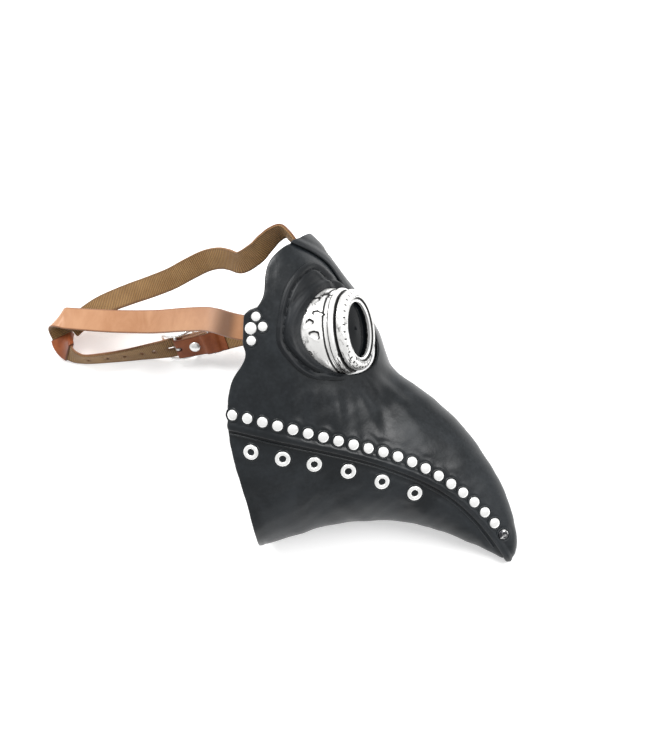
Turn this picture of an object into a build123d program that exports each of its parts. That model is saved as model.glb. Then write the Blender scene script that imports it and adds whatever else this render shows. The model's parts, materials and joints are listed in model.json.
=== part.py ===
"""Plague doctor mask: a long-beaked rubber mask with round eyepieces on a buckled leather head harness.

The mask is drawn in its own side view (X forward, Y up the face, Z to the wearer's right, mirror plane Z = 0)
and then laid on its left side on the floor, where +Z is up.  All lengths are millimetres.
"""
from build123d import *
import math
import os

# ---------------------------------------------------------------- driving dimensions
WALL = 2.4                      # thickness of the rubber
LAP_GAP = 0.15                  # air between the upper shell and the jaw behind it
JAW_INSET = WALL + LAP_GAP
SIDE_CUT = 130.0                # half depth of every tool that cuts through both cheeks
SKIN_GAP = 0.1                  # air under a sewn-on skin
PATCH_THICK = 1.3               # ring patch round each eyepiece
BROW_THICK = 2.2                # brow band across the forehead
SECTION_STEPS = 9               # points up each side of a shell section

# Shell stations from behind the face to the beak tip: ridge point, keel point, half width,
# height of the widest place (0 keel, 1 ridge), fullness at the ridge, fullness at the keel.
STATIONS = [
    ((-36, 284), (-32, 8), 32, 0.62, 2.8, 1.7),
    ((-2, 290), (-6, 6), 53, 0.62, 3.0, 1.65),
    ((32, 290), (18, 9), 66.5, 0.61, 3.2, 1.6),
    ((66, 277), (40, 15.3), 68.5, 0.59, 2.8, 1.6),
    ((92, 245), (62, 23), 61, 0.54, 2.0, 1.65),
    ((112, 219), (79, 28.5), 54, 0.46, 1.6, 1.7),
    ((127, 190), (93, 31), 49, 0.43, 1.5, 1.8),
    ((135, 167), (106, 32.4), 45, 0.42, 1.7, 1.9),
    ((149, 154.5), (121, 32.6), 41, 0.43, 2.0, 2.0),
    ((172, 138), (143, 31.8), 35, 0.44, 2.0, 2.0),
    ((195, 117), (165, 27.4), 28.5, 0.45, 2.0, 2.0),
    ((217, 88), (187, 20.5), 21.5, 0.45, 2.0, 2.0),
    ((233, 57), (208, 12), 15, 0.46, 2.0, 2.0),
    ((240, 31), (222, 4.8), 10, 0.48, 2.0, 2.0),
    ((241.5, 13), (231, 0.5), 5.5, 0.5, 2.0, 2.0),
]
BEAK_TIP = (238, 2.5, 0)

# Outlines in the side view.
MOUTH_LINE = [
    (-20, 118.5), (1.5, 114.5), (48, 104.2), (107, 90.6), (143, 78.9), (175, 63.8), (207, 37), (231, 4.8),
    (244, -18),
]
JAW_LAP = (8.5, 16)             # how far the jaw reaches up behind the upper shell
JAW_FRONT = [(224, 54), (229.5, 3), (229.5, -30)]
BACK_TOP = [(80, 300), (64.9, 276.1), (48, 264.5), (34, 249.5), (31, 235), (29.5, 221), (24.9, 213.1)]
TEMPLE_TAB = [(24.9, 213.1), (18.1, 210.7), (14, 206.8), (13.3, 183.3)]
BACK_LOW = [
    (13.3, 183.3), (15.4, 176), (12, 166), (5.4, 156.1), (1, 139), (0.3, 116), (5.4, 87.6), (13.3, 58.4),
    (23.5, 15), (29, -10),
]
BROW_EDGE = [(40, 272), (52.3, 266.3), (67.8, 259.5), (82.5, 248.7), (93.2, 233.2), (104, 222), (125, 214)]
PATCH_EDGE = [
    (57, 243), (47.3, 228.2), (41.5, 203), (41.5, 183.3), (50.3, 170.7), (63.9, 159), (80, 155), (98, 158),
    (110, 170), (112, 205), (98, 226), (83, 243), (70, 251),
]
STUD_LINE = [
    (3.7, 126.4), (37.4, 118.7), (72.9, 109.7), (108.5, 100.6), (144.3, 90), (178.8, 71.9), (210.6, 46.3),
    (229.3, 24.6),
]
STUD_COUNT = 21
EYELET_PLACES = [(18.8, 96.2), (44.6, 90.8), (70.2, 86.2), (98.1, 80.2), (125.9, 71.2), (153.4, 61.1)]
TEMPLE_STUDS = [(23.5, 206), (29, 197.8), (19.7, 186.6)]
TEMPLE_RIVET = (19.3, 196.5)
FOREHEAD_RIVET = (72.5, 268.5, 0)
FOREHEAD_STUDS = [(79, 261.5, 8.5), (79, 261.5, -8.5)]

# Eyepiece, along its own axis from the base out.
EYE_BASE = Vector(70.2, 192.6, 33)
EYE_AXIS = Vector(0.910, 0.087, 0.407).normalized()
EYE_HOLE_R = 36.6

# ---------------------------------------------------------------- harness, in the floor frame
STRAP_WIDTH = 20.0
LONG_LAYERS = {"facing": (-0.05, 1.45), "webbing": (-1.45, -0.15)}
SHORT_LAYERS = {"facing": (0.05, 1.15), "webbing": (-1.15, -0.05)}
# The long strap from its end inside the right temple to the fold: centre, across direction, lift.
NEAR_STATIONS = [
    (36.5, 172.6, 145.4, 0, 0.96, 0.27, 0),
    (28.7, 173.7, 144.5, 0, 0.96, 0.27, 0),
    (21.0, 175.0, 143.2, 0, 0.96, 0.27, 0),
    (12.5, 177.6, 139.8, 0.05, 0.96, 0.26, 0),
    (4, 181.6, 133.4, 0.08, 0.96, 0.25, 0),
    (-6, 187.0, 124.5, 0.1, 0.96, 0.2, 0),
    (-19, 193.0, 111, 0.1, 0.96, 0.2, 0),
    (-43, 199.0, 91, 0.05, 0.96, 0.18, 0),
    (-75, 204.8, 68, 0, 0.97, 0.12, 0),
    (-114, 212.3, 46, 0, 0.99, 0.05, 0),
    (-141, 217.5, 34, 0, 1, 0, 0),
    (-160, 221.0, 27, 0.1, 0.99, 0, 0),
    (-170.5, 222.8, 24, 0.168, 0.98, 0, 0),
]
FOLD_TOP = (-170.5, 222.8, 24)
FOLD_LINE = (-0.582, -0.813, 0)
FOLD_OUT = (-0.813, 0.582, 0)
FOLD_RADIUS = 8.5
FOLD_ADVANCE = 13.0
# From under the fold, rising on to its edge.
TURN_STATIONS = [
    (-178.1, 212.2, 7.4, 0.87, 0.48, 0.05, 0),
    (-175.8, 205.0, 9.1, 0.80, 0.45, 0.38, 0),
    (-171.5, 197.6, 10.2, 0.55, 0.45, 0.70, 0),
    (-165.5, 191.8, 10.4, 0.25, 0.32, 0.92, 0),
    (-157.8, 188.8, 10.4, 0.05, 0.15, 0.99, 0),
]
# Along the floor to the left temple: centre and lean (90 stands on edge).
FAR_LINE = [
    (-149.8, 187.6, 10.4, 88), (-132, 189.1, 10.4, 86), (-116, 191.0, 10.5, 82), (-99.6, 193.1, 11.5, 75),
    (-88, 194.3, 13.0, 68), (-78, 195.3, 14.4, 62), (-71, 196.0, 15.4, 58), (-64.6, 196.6, 16.0, 56),
    (-58, 197.6, 16.5, 54.5), (-49, 199.3, 17.2, 52.5), (-42, 200.6, 17.9, 49.5), (-38.5, 201.2, 18.5, 47.5),
    (-33, 202.0, 19.5, 44), (-27.5, 202.7, 20.8, 40.5), (-24, 203.1, 21.7, 38), (-19, 203.6, 23.4, 34),
    (-14, 203.9, 26.0, 30), (-6, 204.3, 30.0, 24), (-0.5, 204.7, 32.4, 18), (4.7, 205.1, 32.5, 16),
    (12, 205.9, 29.5, 15.6), (19.4, 206.8, 26.4, 15.6),
]
BAR_INDEX = 7                   # the station of the buckle's centre bar
LONG_LIFTS = [0, 0, 0, 0.2, 0.4, 0.75, 1.75, 3.0, *[2.87] * 8, 3.1]
SHORT_LIFTS = [-1] * 17 + [-0.6, -0.2, 0, 0, 0]
CHAPE_INNER_LIFTS = [-2.8, -2.8, -2.8, -3.1, -4.75, -4.75, -4.75, -3.1, -2.8]
HOLE_STATIONS = [0, 1, 2, 3, 4]
TOP_STATIONS = [
    (74.4, 252.3, 96.7, -0.14, 0.27, -0.95, 0),
    (68.2, 257.9, 99.2, -0.14, 0.27, -0.95, 0),
    (61.2, 259.2, 100.6, -0.12, 0.2, -0.97, 0),
    (54.5, 262.6, 102.5, -0.12, 0.1, -0.97, 0),
    (48.3, 269.6, 103, -0.1, 0, -0.98, 0),
    (41.7, 275.0, 101, 0, -0.15, -0.98, 0),
    (33.4, 273.2, 97, 0, -0.35, -0.93, 0),
    (25.1, 267.6, 92, 0, -0.55, -0.83, 0),
    (15.7, 260.3, 86, 0, -0.66, -0.75, 0),
    (1.3, 255.6, 77, 0, -0.72, -0.69, 0),
    (-10.2, 260.6, 71, 0, -0.75, -0.66, 0),
    (-20, 263.8, 66.5, 0, -0.76, -0.64, 0),
    (-33.5, 263.4, 61, 0, -0.78, -0.6, 0),
    (-49.5, 257.8, 56, 0, -0.82, -0.55, 0),
    (-66.5, 250.9, 50.5, 0, -0.87, -0.45, 0),
    (-85.9, 245.9, 44, 0, -0.93, -0.3, 0),
    (-105.6, 242, 37, 0, -0.97, -0.2, 0),
    (-126.9, 237.5, 28.5, 0.1, -0.99, -0.05, 0),
    (-141.1, 233.3, 22.5, 0.25, -0.96, 0, 0),
    (-154, 226.5, 17.5, 0.4, -0.9, 0, 0),
    (-161.5, 220.6, 15.8, 0.5, -0.86, 0, 0),
    (-167.2, 215.3, 14.8, 0.55, -0.83, 0.05, 0),
]
LOOP_SPAN = (1, 6)              # the turn's frames that the top strap's loop wraps
LOOP_WALL = 1.35
LOOP_CLEAR = 0.3
UP = Vector(-0.1328, 0.2697, 0.9538).normalized()      # the floor's up direction in the mask's frame
FLOOR_GAP = 36.75              # height of the mask's frame above the floor
ORIGIN = Vector(24.9, 144.0, 0)       # centre of the whole object's base
STEPS = 2                       # stations added between each pair of the harness's own
TOP_WIDTH = 19.0
END_HOLE_R = 2.2                # a strap's hole for its rivet
PUNCH_R = 2.0                   # the long strap's buckle holes
ARCH_RADIUS = 19.0              # the buckle frame's arch
ARCH_BOTTOM = 0.6
ARCH_PLACE = 0.5
FRAME_THICK = 2.2
FRAME_LENGTH = 32.0
FRAME_WIDTH = 29.0
FRAME_BORDER = 2.6
FRAME_PLACE = 1.5
BAR_RADIUS = 1.1
BAR_HEIGHT = -1.0               # the centre bar, below the harness line
CHAPE_INNER = 1.25
CHAPE_OUTER = 2.35
KEEPER_SPAN = (-3.95, 6.5)      # the keeper's lowest and highest places across the strap's thickness
KEEPER_WIRE = 1.65
PRONG_ROOT = (-1.7, 0, 0.6)
PRONG_TIP = (-15.6, 0, 11.9)
PRONG_RADIUS = 0.8
CHAPE_RIVET_LIFT = 3.85
RIVET_INDEX = 9
KEEPER_INDEX = 12
SEAT_DEPTH = 0.45               # shallow recess under each stud
SHANK_R = 1.6                   # hole for a stud's shank


def station_outline(station, inset):
    """The closed outline of one station, moved inwards by inset."""
    (tx, ty), (bx, by), half, widest, top_full, keel_full = station
    height = math.hypot(tx - bx, ty - by)
    up = ((tx - bx) / height, (ty - by) / height)
    side = []
    for i in range(SECTION_STEPS + 1):
        f = (1 - math.cos(math.pi * i / SECTION_STEPS)) / 2
        reach, full = (1 - widest, top_full) if f > widest else (widest, keel_full)
        w = half * max(0.0, 1 - (abs(f - widest) / reach) ** full) ** 0.5
        side.append((f * height, w))
    loop = side + [(h, -w) for h, w in reversed(side[1:-1])]
    moved = []
    for i, (h, w) in enumerate(loop):
        (h0, w0), (h1, w1) = loop[i - 1], loop[(i + 1) % len(loop)]
        length = math.hypot(h1 - h0, w1 - w0)
        moved.append((h + (w1 - w0) / length * inset, w - (h1 - h0) / length * inset))
    return [Vector(bx + up[0] * h, by + up[1] * h, w) for h, w in moved]


def shell_body(inset, tip=False):
    """The closed body inside the shell's outer surface, shrunk by inset."""
    stations = STATIONS if tip else STATIONS[:-1]
    sections = [Wire([Edge.make_spline(station_outline(s, inset), periodic=True)]) for s in stations]
    if tip:
        sections.append(Vertex(*BEAK_TIP))
    return Solid.make_loft(sections)


# ---------------------------------------------------------------- small helpers
def spline_edge(points):
    """A smooth edge through side-view points."""
    return Edge.make_spline([Vector(*p) for p in points])


def line_edge(a, b):
    """A straight edge between two side-view points."""
    return Edge.make_line(Vector(*a), Vector(*b))


def through_cut(edges):
    """A solid through both cheeks, bounded by a closed chain of side-view edges."""
    face = Face(Wire(edges))
    return extrude(face, SIDE_CUT, dir=(0, 0, 1), both=True)


def one_solid(shape):
    """The largest solid of a boolean result."""
    return max(shape.solids(), key=lambda solid: solid.volume)


def mirrored(shape):
    """The same piece on the other cheek."""
    return shape.mirror(Plane.XY)


def turned(profile):
    """A solid turned about its own Z from (radius, height) corners."""
    corners = [Vector(r, 0, h) for r, h in profile]
    return Solid.revolve(Face(Wire.make_polygon(corners, close=True)), 360, Axis.Z)


def evenly(points, count):
    """Count places, evenly spaced along a smooth line through side-view points."""
    line = spline_edge(points)
    return [line.position_at(i / (count - 1)) for i in range(count)]


def seat(body, x, y):
    """The plane that touches a body's right cheek at a side-view place, its Z pointing outwards."""
    hits = body.find_intersection_points(Axis((x, y, 200), (0, 0, -1)))
    point, normal = max(hits, key=lambda hit: hit[0].Z)
    if normal.Z < 0:
        normal = -normal
    return Plane(origin=point, x_dir=(1, 0, -normal.X / normal.Z), z_dir=normal)


def ridge_seat(body, x, y, z):
    """The plane that touches the forehead near its ridge, its Z pointing up and forward."""
    aim = Vector(0.78, 0.63, 0.012 * z).normalized()
    hits = body.find_intersection_points(Axis(Vector(x, y, z) + aim * 60, -aim))
    point, normal = max(hits, key=lambda hit: hit[0].dot(aim))
    if normal.dot(aim) < 0:
        normal = -normal
    return Plane(origin=point, x_dir=normal.cross(Vector(0, 0, 1)), z_dir=normal)


def placed(planes, part):
    """One copy of a part on each plane."""
    return [plane * part for plane in planes]


# ---------------------------------------------------------------- rubber shells
def back_trim():
    """Everything in front of the mask's open back."""
    return through_cut([
        spline_edge(BACK_TOP),
        *[line_edge(a, b) for a, b in zip(TEMPLE_TAB, TEMPLE_TAB[1:])],
        spline_edge(BACK_LOW),
        line_edge(BACK_LOW[-1], (300, -10)),
        line_edge((300, -10), (300, 300)),
        line_edge((300, 300), BACK_TOP[0]),
    ])


def above_mouth():
    """The side-view region of the upper shell."""
    return through_cut([
        spline_edge(MOUTH_LINE),
        line_edge(MOUTH_LINE[-1], (300, -18)),
        line_edge((300, -18), (300, 330)),
        line_edge((300, 330), (-20, 330)),
        line_edge((-20, 330), MOUTH_LINE[0]),
    ])


def below_lap():
    """The side-view region of the lower jaw, with the part that the upper shell covers."""
    lap = [(x + JAW_LAP[0], y + JAW_LAP[1]) for x, y in MOUTH_LINE[:7]]
    lap.append(JAW_FRONT[0])
    return through_cut([
        spline_edge(lap),
        *[line_edge(a, b) for a, b in zip(JAW_FRONT, JAW_FRONT[1:])],
        line_edge(JAW_FRONT[-1], (-20, -30)),
        line_edge((-20, -30), lap[0]),
    ])


def under_brow():
    """The side-view region of the brow band, from its lower edge up over the ridge."""
    return through_cut([
        spline_edge(BROW_EDGE),
        line_edge(BROW_EDGE[-1], (160, 330)),
        line_edge((160, 330), (20, 330)),
        line_edge((20, 330), BROW_EDGE[0]),
    ])


def eye_hole():
    """The round hole for the right eyepiece."""
    plane = Plane(origin=EYE_BASE - EYE_AXIS * 24, z_dir=EYE_AXIS)
    return Solid.make_cylinder(EYE_HOLE_R, 90, plane)


def skin(thick):
    """A sewn-on layer of some thickness all over the shell."""
    return shell_body(-SKIN_GAP - thick, True) - shell_body(-SKIN_GAP, True)


# ---------------------------------------------------------------- fasteners
def domed_stud(radius, dome, shank):
    """A domed stud on its seat: cap, shank through the rubber, and a peened end."""
    rise = [(radius * math.cos(a), 0.3 + dome * math.sin(a)) for a in [i * math.pi / 12 for i in range(6)]]
    return turned([(0, -shank), (1.4, -shank), (1.4, -0.25), (radius, -0.25), *rise, (0, 0.3 + dome)])


def stud_back(depth, radius):
    """The washer that a stud's shank is peened over, inside the mask."""
    return turned([(1.6, -depth - 0.9), (radius, -depth - 0.9), (radius, -depth), (1.6, -depth)])


def eyelet(depth):
    """A rolled metal eyelet: flange outside, tube through the rubber."""
    flange = [(3.5, 0.1), (6.4, 0.1), (6.4, 0.3), (5.8, 1.1), (4.6, 1.5), (3.3, 1.2), (2.75, 0.3)]
    return turned([(2.75, -depth - 1.6), (3.5, -depth - 1.6), *flange])


def eyelet_washer(depth):
    """The washer behind an eyelet."""
    return turned([(3.6, -depth - 1.3), (5.9, -depth - 1.3), (5.9, -depth - 0.5), (3.6, -depth - 0.5)])


def hole_cutter(radius, seat_radius):
    """A hole through the rubber with a shallow seat round it."""
    hole = Solid.make_cylinder(radius, 14, Plane(origin=(0, 0, -9)))
    return hole + Solid.make_cylinder(seat_radius, 6, Plane(origin=(0, 0, -SEAT_DEPTH)))


def both_cheeks(planes, cutter):
    """A cutter on each plane of the right cheek and of the left."""
    tools = placed(planes, cutter)
    return tools + [mirrored(tool) for tool in tools]


# ---------------------------------------------------------------- eyepieces
EYEPIECE_PIECES = {
    "eyepiece_barrel": [
        (30.5, 0), (36.0, 0), (36.3, 4), (36.3, 20), (34.9, 23), (33.6, 25), (33.6, 26.6), (30.5, 26.6),
    ],
    "eyepiece_middle_ring": [
        (30.0, 26.8), (34.2, 26.8), (35.4, 28.4), (35.0, 30.6), (32.4, 32.6), (30.0, 32.6),
    ],
    "eyepiece_front_rim": [
        (25.6, 32.8), (31.8, 32.8), (32.6, 34.4), (33.5, 37), (32.6, 40), (30, 41.8), (27, 42.2),
        (25.6, 41.2),
    ],
    "lens_wire_ring": [(23.0, 38.2), (25.4, 38.2), (25.4, 40.2), (24.4, 41.0), (23.0, 40.2)],
    "lens": [(0, 35.4), (24.4, 34.2), (24.4, 36.2), (0, 37.4)],
    "lens_gasket": [(22.6, 32.9), (25.4, 32.9), (25.4, 38.0), (24.6, 38.0), (24.6, 34.0), (22.6, 34.0)],
    "eyepiece_clamp_collar": [(26.5, 0.4), (30.3, 0.4), (30.3, 7.5), (28.5, 7.5), (28.5, 3), (26.5, 3)],
}


def eyepiece(name):
    """One turned piece of the right eyepiece, on its axis."""
    return Plane(origin=EYE_BASE, z_dir=EYE_AXIS) * turned(EYEPIECE_PIECES[name])


# ---------------------------------------------------------------- harness straps
def catmull_rom(before, start, end, after, t):
    """A value between start and end on a smooth curve."""
    square = 2 * before - 5 * start + 4 * end - after
    cube = 3 * start - before - 3 * end + after
    return 0.5 * (2 * start + (end - before) * t + square * t**2 + cube * t**3)


def smoothed(stations, steps):
    """Stations filled in between on a smooth curve."""
    last = len(stations) - 1
    filled = []
    for i in range(last):
        near = [stations[min(max(k, 0), last)] for k in range(i - 1, i + 3)]
        for step in range(steps):
            filled.append(tuple(catmull_rom(*values, step / steps) for values in zip(*near)))
    filled.append(tuple(stations[-1]))
    return filled


def strap_frames(stations):
    """Centre, across and outward directions at each station (x, y, z, across x, y, z, lift)."""
    frames = []
    for i, station in enumerate(stations):
        before, after = stations[max(i - 1, 0)], stations[min(i + 1, len(stations) - 1)]
        along = (Vector(*after[:3]) - Vector(*before[:3])).normalized()
        across = Vector(*station[3:6])
        across = (across - along * across.dot(along)).normalized()
        outward = across.cross(along)
        frames.append((Vector(*station[:3]) + outward * station[6], across, outward))
    return frames


def strap_layer(frames, inner, outer, width=STRAP_WIDTH):
    """A strap's layer between two heights above its centre surface."""
    sections = []
    for centre, across, outward in frames:
        side = across * (width / 2)
        corners = [centre + side + outward * inner, centre + side + outward * outer]
        corners += [centre - side + outward * outer, centre - side + outward * inner]
        sections.append(Wire.make_polygon(corners, close=True))
    return Solid.make_loft(sections, ruled=True)


def fold_stations():
    """The long strap's half turn at the far left, wrapped round a slanting fold line."""
    top, fold, out = Vector(*FOLD_TOP), Vector(*FOLD_LINE), Vector(*FOLD_OUT)
    stations = []
    for i in range(1, 8):
        turn = math.pi * i / 8
        place = top + fold * (FOLD_ADVANCE * i / 8) + out * (FOLD_RADIUS * math.sin(turn))
        place -= Vector(0, 0, FOLD_RADIUS * (1 - math.cos(turn)))
        across = fold * -0.9 + (out * math.cos(turn) - Vector(0, 0, math.sin(turn))) * 0.434
        stations.append((*place, *across, 0))
    return stations


def far_stations(lifts):
    """The harness line low on the left side, leaning as it goes, with a lift for each station."""
    stations = []
    for (x, y, z, lean), lift in zip(FAR_LINE, lifts):
        stations.append((x, y, z, 0, math.cos(math.radians(lean)), math.sin(math.radians(lean)), lift))
    return stations


def local_plane(frame):
    """A station's plane: X along the strap, Z outwards, on the strap's centre surface."""
    centre, across, outward = frame
    return Plane(origin=centre, x_dir=outward.cross(across), z_dir=outward)


def hole_at(frame, radius):
    """A cutter for a round hole square through a strap."""
    return local_plane(frame) * Solid.make_cylinder(radius, 20, Plane(origin=(0, 0, -10)))


def long_route():
    """Frames of the whole long strap, from the right temple round the fold to its tail."""
    stations = [*NEAR_STATIONS, *fold_stations(), *TURN_STATIONS, *far_stations(LONG_LIFTS)]
    return strap_frames(smoothed(stations, STEPS))


def base_frames():
    """Frames of the low harness line itself, one for each of its stations."""
    return strap_frames(far_stations([0] * len(FAR_LINE)))


def strap_loop(frames):
    """The top strap's end loop, wrapped round the long strap after its fold."""
    first = (len(NEAR_STATIONS) + len(fold_stations())) * STEPS
    low, high = first + LOOP_SPAN[0], first + LOOP_SPAN[1]
    space = LONG_LAYERS["facing"][1] + LOOP_CLEAR
    wide = STRAP_WIDTH + 2 * LOOP_CLEAR
    inner = strap_layer(frames[low - 1:high + 1], -space, space, wide)
    outer = strap_layer(frames[low:high], -space - LOOP_WALL, space + LOOP_WALL, wide + 2 * LOOP_WALL)
    return one_solid(outer - inner)


# ---------------------------------------------------------------- buckle, in its own plane
def rounded_ring(length, width, border, corner, depth):
    """A flat rounded-rectangle ring, centred, standing on Z = 0."""
    inner_corner = max(corner - border, 0.8)
    outer = extrude(RectangleRounded(length, width, corner), depth)
    inner = extrude(RectangleRounded(length - 2 * border, width - 2 * border, inner_corner), depth)
    return one_solid(outer - inner)


def buckle_frame():
    """The arched frame and its centre bar."""
    middle = ARCH_BOTTOM + ARCH_RADIUS
    axis_plane = Plane(origin=(ARCH_PLACE, 20, middle), x_dir=(1, 0, 0), z_dir=(0, -1, 0))
    plate = Solid.make_cylinder(ARCH_RADIUS + FRAME_THICK / 2, 40, axis_plane)
    plate -= Solid.make_cylinder(ARCH_RADIUS - FRAME_THICK / 2, 40, axis_plane)
    ring = Pos(FRAME_PLACE, 0, -5) * rounded_ring(FRAME_LENGTH, FRAME_WIDTH, FRAME_BORDER, 5, 20)
    bar_plane = Plane(origin=(0, -FRAME_WIDTH / 2 + 1.6, BAR_HEIGHT), z_dir=(0, 1, 0))
    bar = Solid.make_cylinder(BAR_RADIUS, FRAME_WIDTH - 3.2, bar_plane)
    return one_solid((plate & ring) + bar)


def buckle_prong():
    """The prong: an eye round the centre bar and an arm that rests on the frame's far bar."""
    eye_plane = Plane(origin=(0, -1.3, BAR_HEIGHT), z_dir=(0, 1, 0))
    eye = Solid.make_cylinder(2.3, 2.6, eye_plane) - Solid.make_cylinder(BAR_RADIUS + 0.2, 2.6, eye_plane)
    root, tip = Vector(*PRONG_ROOT), Vector(*PRONG_TIP)
    arm = Solid.make_cylinder(PRONG_RADIUS, (tip - root).length, Plane(origin=root, z_dir=tip - root))
    end = Solid.make_sphere(PRONG_RADIUS, angle1=-90, angle2=90, angle3=360)
    return one_solid(eye + arm + Pos(*tip) * end)


def keeper_ring():
    """The wire keeper, standing across the strap."""
    low, high = KEEPER_SPAN
    ring = rounded_ring(high - low, STRAP_WIDTH + 5.0, KEEPER_WIRE, 2.6, KEEPER_WIRE)
    return Plane(origin=(-KEEPER_WIRE / 2, 0, (low + high) / 2), x_dir=(0, 0, 1), z_dir=(1, 0, 0)) * ring


def chape_wrap():
    """The half turn of leather round the centre bar."""
    wrap_plane = Plane(origin=(0, -STRAP_WIDTH / 2, BAR_HEIGHT), z_dir=(0, 1, 0))
    wrap = Solid.make_cylinder(CHAPE_OUTER, STRAP_WIDTH, wrap_plane)
    wrap -= Solid.make_cylinder(CHAPE_INNER, STRAP_WIDTH, wrap_plane)
    return wrap & Solid.make_box(20, 40, 20, Plane(origin=(-19.6, -20, -10)))


def chape(buckle):
    """The leather that holds the buckle: two layers joined round the centre bar, slotted for the prong."""
    end = BAR_INDEX + len(CHAPE_INNER_LIFTS)
    half = (CHAPE_OUTER - CHAPE_INNER) / 2
    lifts = [0] * BAR_INDEX + CHAPE_INNER_LIFTS
    inner = strap_frames(smoothed(far_stations(lifts)[BAR_INDEX:end], STEPS))
    outer = strap_frames(smoothed(far_stations([0.8] * end)[BAR_INDEX:end], STEPS))
    leather = strap_layer(inner, -half, half) + strap_layer(outer, -half, half) + buckle * chape_wrap()
    return leather - buckle * Solid.make_box(8.5, 3.6, 14, Plane(origin=(-4.5, -1.8, -7)))


# ---------------------------------------------------------------- assembly
def shells(studs, temple_studs, temple_rivets, eyelets, forehead_tools):
    """The upper shell and the lower jaw, cut out and drilled."""
    trim = back_trim()
    upper = (shell_body(0, True) - shell_body(WALL)) & above_mouth() & trim
    upper = upper - [eye_hole(), mirrored(eye_hole())]
    tools = both_cheeks(studs, hole_cutter(SHANK_R, 5.1))
    tools += both_cheeks(temple_studs, hole_cutter(SHANK_R, 4.6))
    tools += both_cheeks(temple_rivets, hole_cutter(1.9, 5.6))
    upper = one_solid(upper - [*tools, *forehead_tools])
    jaw = (shell_body(JAW_INSET, True) - shell_body(JAW_INSET + WALL)) & below_lap() & trim
    bare_hole = Solid.make_cylinder(SHANK_R, 14, Plane(origin=(0, 0, -9)))
    vent = Solid.make_cylinder(3.8, 14, Plane(origin=(0, 0, -9)))
    jaw = one_solid(jaw - [*both_cheeks(studs, bare_hole), *both_cheeks(eyelets, vent)])
    return upper, one_solid(jaw - upper)


def cheek_pieces(studs, temple_studs, temple_rivets, eyelets):
    """Every piece that the right cheek has and the left mirrors."""
    right_half = Pos(0, 0, SIDE_CUT / 2 + 2) * Box(600, 600, SIDE_CUT)
    patch_edge = through_cut([spline_edge([*PATCH_EDGE, PATCH_EDGE[0]])])
    pieces = {
        "eye_patch": [one_solid((skin(PATCH_THICK) & patch_edge & right_half) - eye_hole())],
        "beak_studs": placed(studs, domed_stud(4.5, 1.5, 6.2)),
        "stud_washers": placed(studs, stud_back(5.1, 3.2)),
        "jaw_eyelets": placed(eyelets, eyelet(WALL)),
        "jaw_eyelet_washers": placed(eyelets, eyelet_washer(WALL)),
        "temple_studs": placed(temple_studs, domed_stud(4.0, 1.4, 2.5)),
        "temple_strap_rivet": placed(temple_rivets, domed_stud(5.0, 1.7, 7.4)),
        "temple_rivet_washer": placed(temple_rivets, stud_back(6.8, 4.2)),
    }
    pieces.update({name: [eyepiece(name)] for name in EYEPIECE_PIECES})
    return pieces


def mask_nodes():
    """Every piece of the mask itself, in the mask's frame."""
    outer = shell_body(0, True)
    jaw_outer = shell_body(JAW_INSET, True)
    brow_outer = shell_body(-SKIN_GAP - BROW_THICK, True)
    studs = [seat(outer, p.X, p.Y) for p in evenly(STUD_LINE, STUD_COUNT)]
    eyelets = [seat(jaw_outer, x, y) for x, y in EYELET_PLACES]
    temple_studs = [seat(outer, x, y) for x, y in TEMPLE_STUDS]
    temple_rivets = [seat(outer, *TEMPLE_RIVET)]
    forehead_studs = [ridge_seat(brow_outer, *place) for place in FOREHEAD_STUDS]
    forehead_rivet = ridge_seat(brow_outer, *FOREHEAD_RIVET)
    forehead_tools = placed(forehead_studs, hole_cutter(1.8, 4.4))
    forehead_tools.append(forehead_rivet * hole_cutter(1.8, 5.4))
    upper, jaw = shells(studs, temple_studs, temple_rivets, eyelets, forehead_tools)
    brow = skin(BROW_THICK) & under_brow() & back_trim()
    brow = brow - [eye_hole(), mirrored(eye_hole()), *forehead_tools]
    nodes = {"upper_shell": [upper], "lower_jaw": [jaw], "brow_band": [one_solid(brow)]}
    for name, pieces in cheek_pieces(studs, temple_studs, temple_rivets, eyelets).items():
        nodes[name + "_right"] = pieces
        nodes[name + "_left"] = [mirrored(piece) for piece in pieces]
    nodes["forehead_studs"] = placed(forehead_studs, domed_stud(4.0, 1.4, 5.0))
    nodes["forehead_strap_rivet"] = [forehead_rivet * domed_stud(5.0, 1.7, 9.4)]
    return nodes


def buckle_nodes(base):
    """The buckle with its leather, rivet and keeper, in the floor frame, and the rivet's hole."""
    buckle = local_plane(base[BAR_INDEX])
    rivet_plane = local_plane(base[RIVET_INDEX])
    rivet_hole = hole_at(base[RIVET_INDEX], 1.9)
    head = Plane(origin=rivet_plane.origin, x_dir=rivet_plane.x_dir, z_dir=-rivet_plane.z_dir)
    nodes = {
        "buckle_frame": [buckle * buckle_frame()],
        "buckle_prong": [buckle * buckle_prong()],
        "buckle_chape": [one_solid(chape(buckle) - rivet_hole)],
        "chape_rivet": [head * Pos(0, 0, CHAPE_RIVET_LIFT) * domed_stud(5.0, 1.6, 5.0)],
        "keeper_ring": [local_plane(base[KEEPER_INDEX]) * keeper_ring()],
    }
    return nodes, rivet_hole


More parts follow.
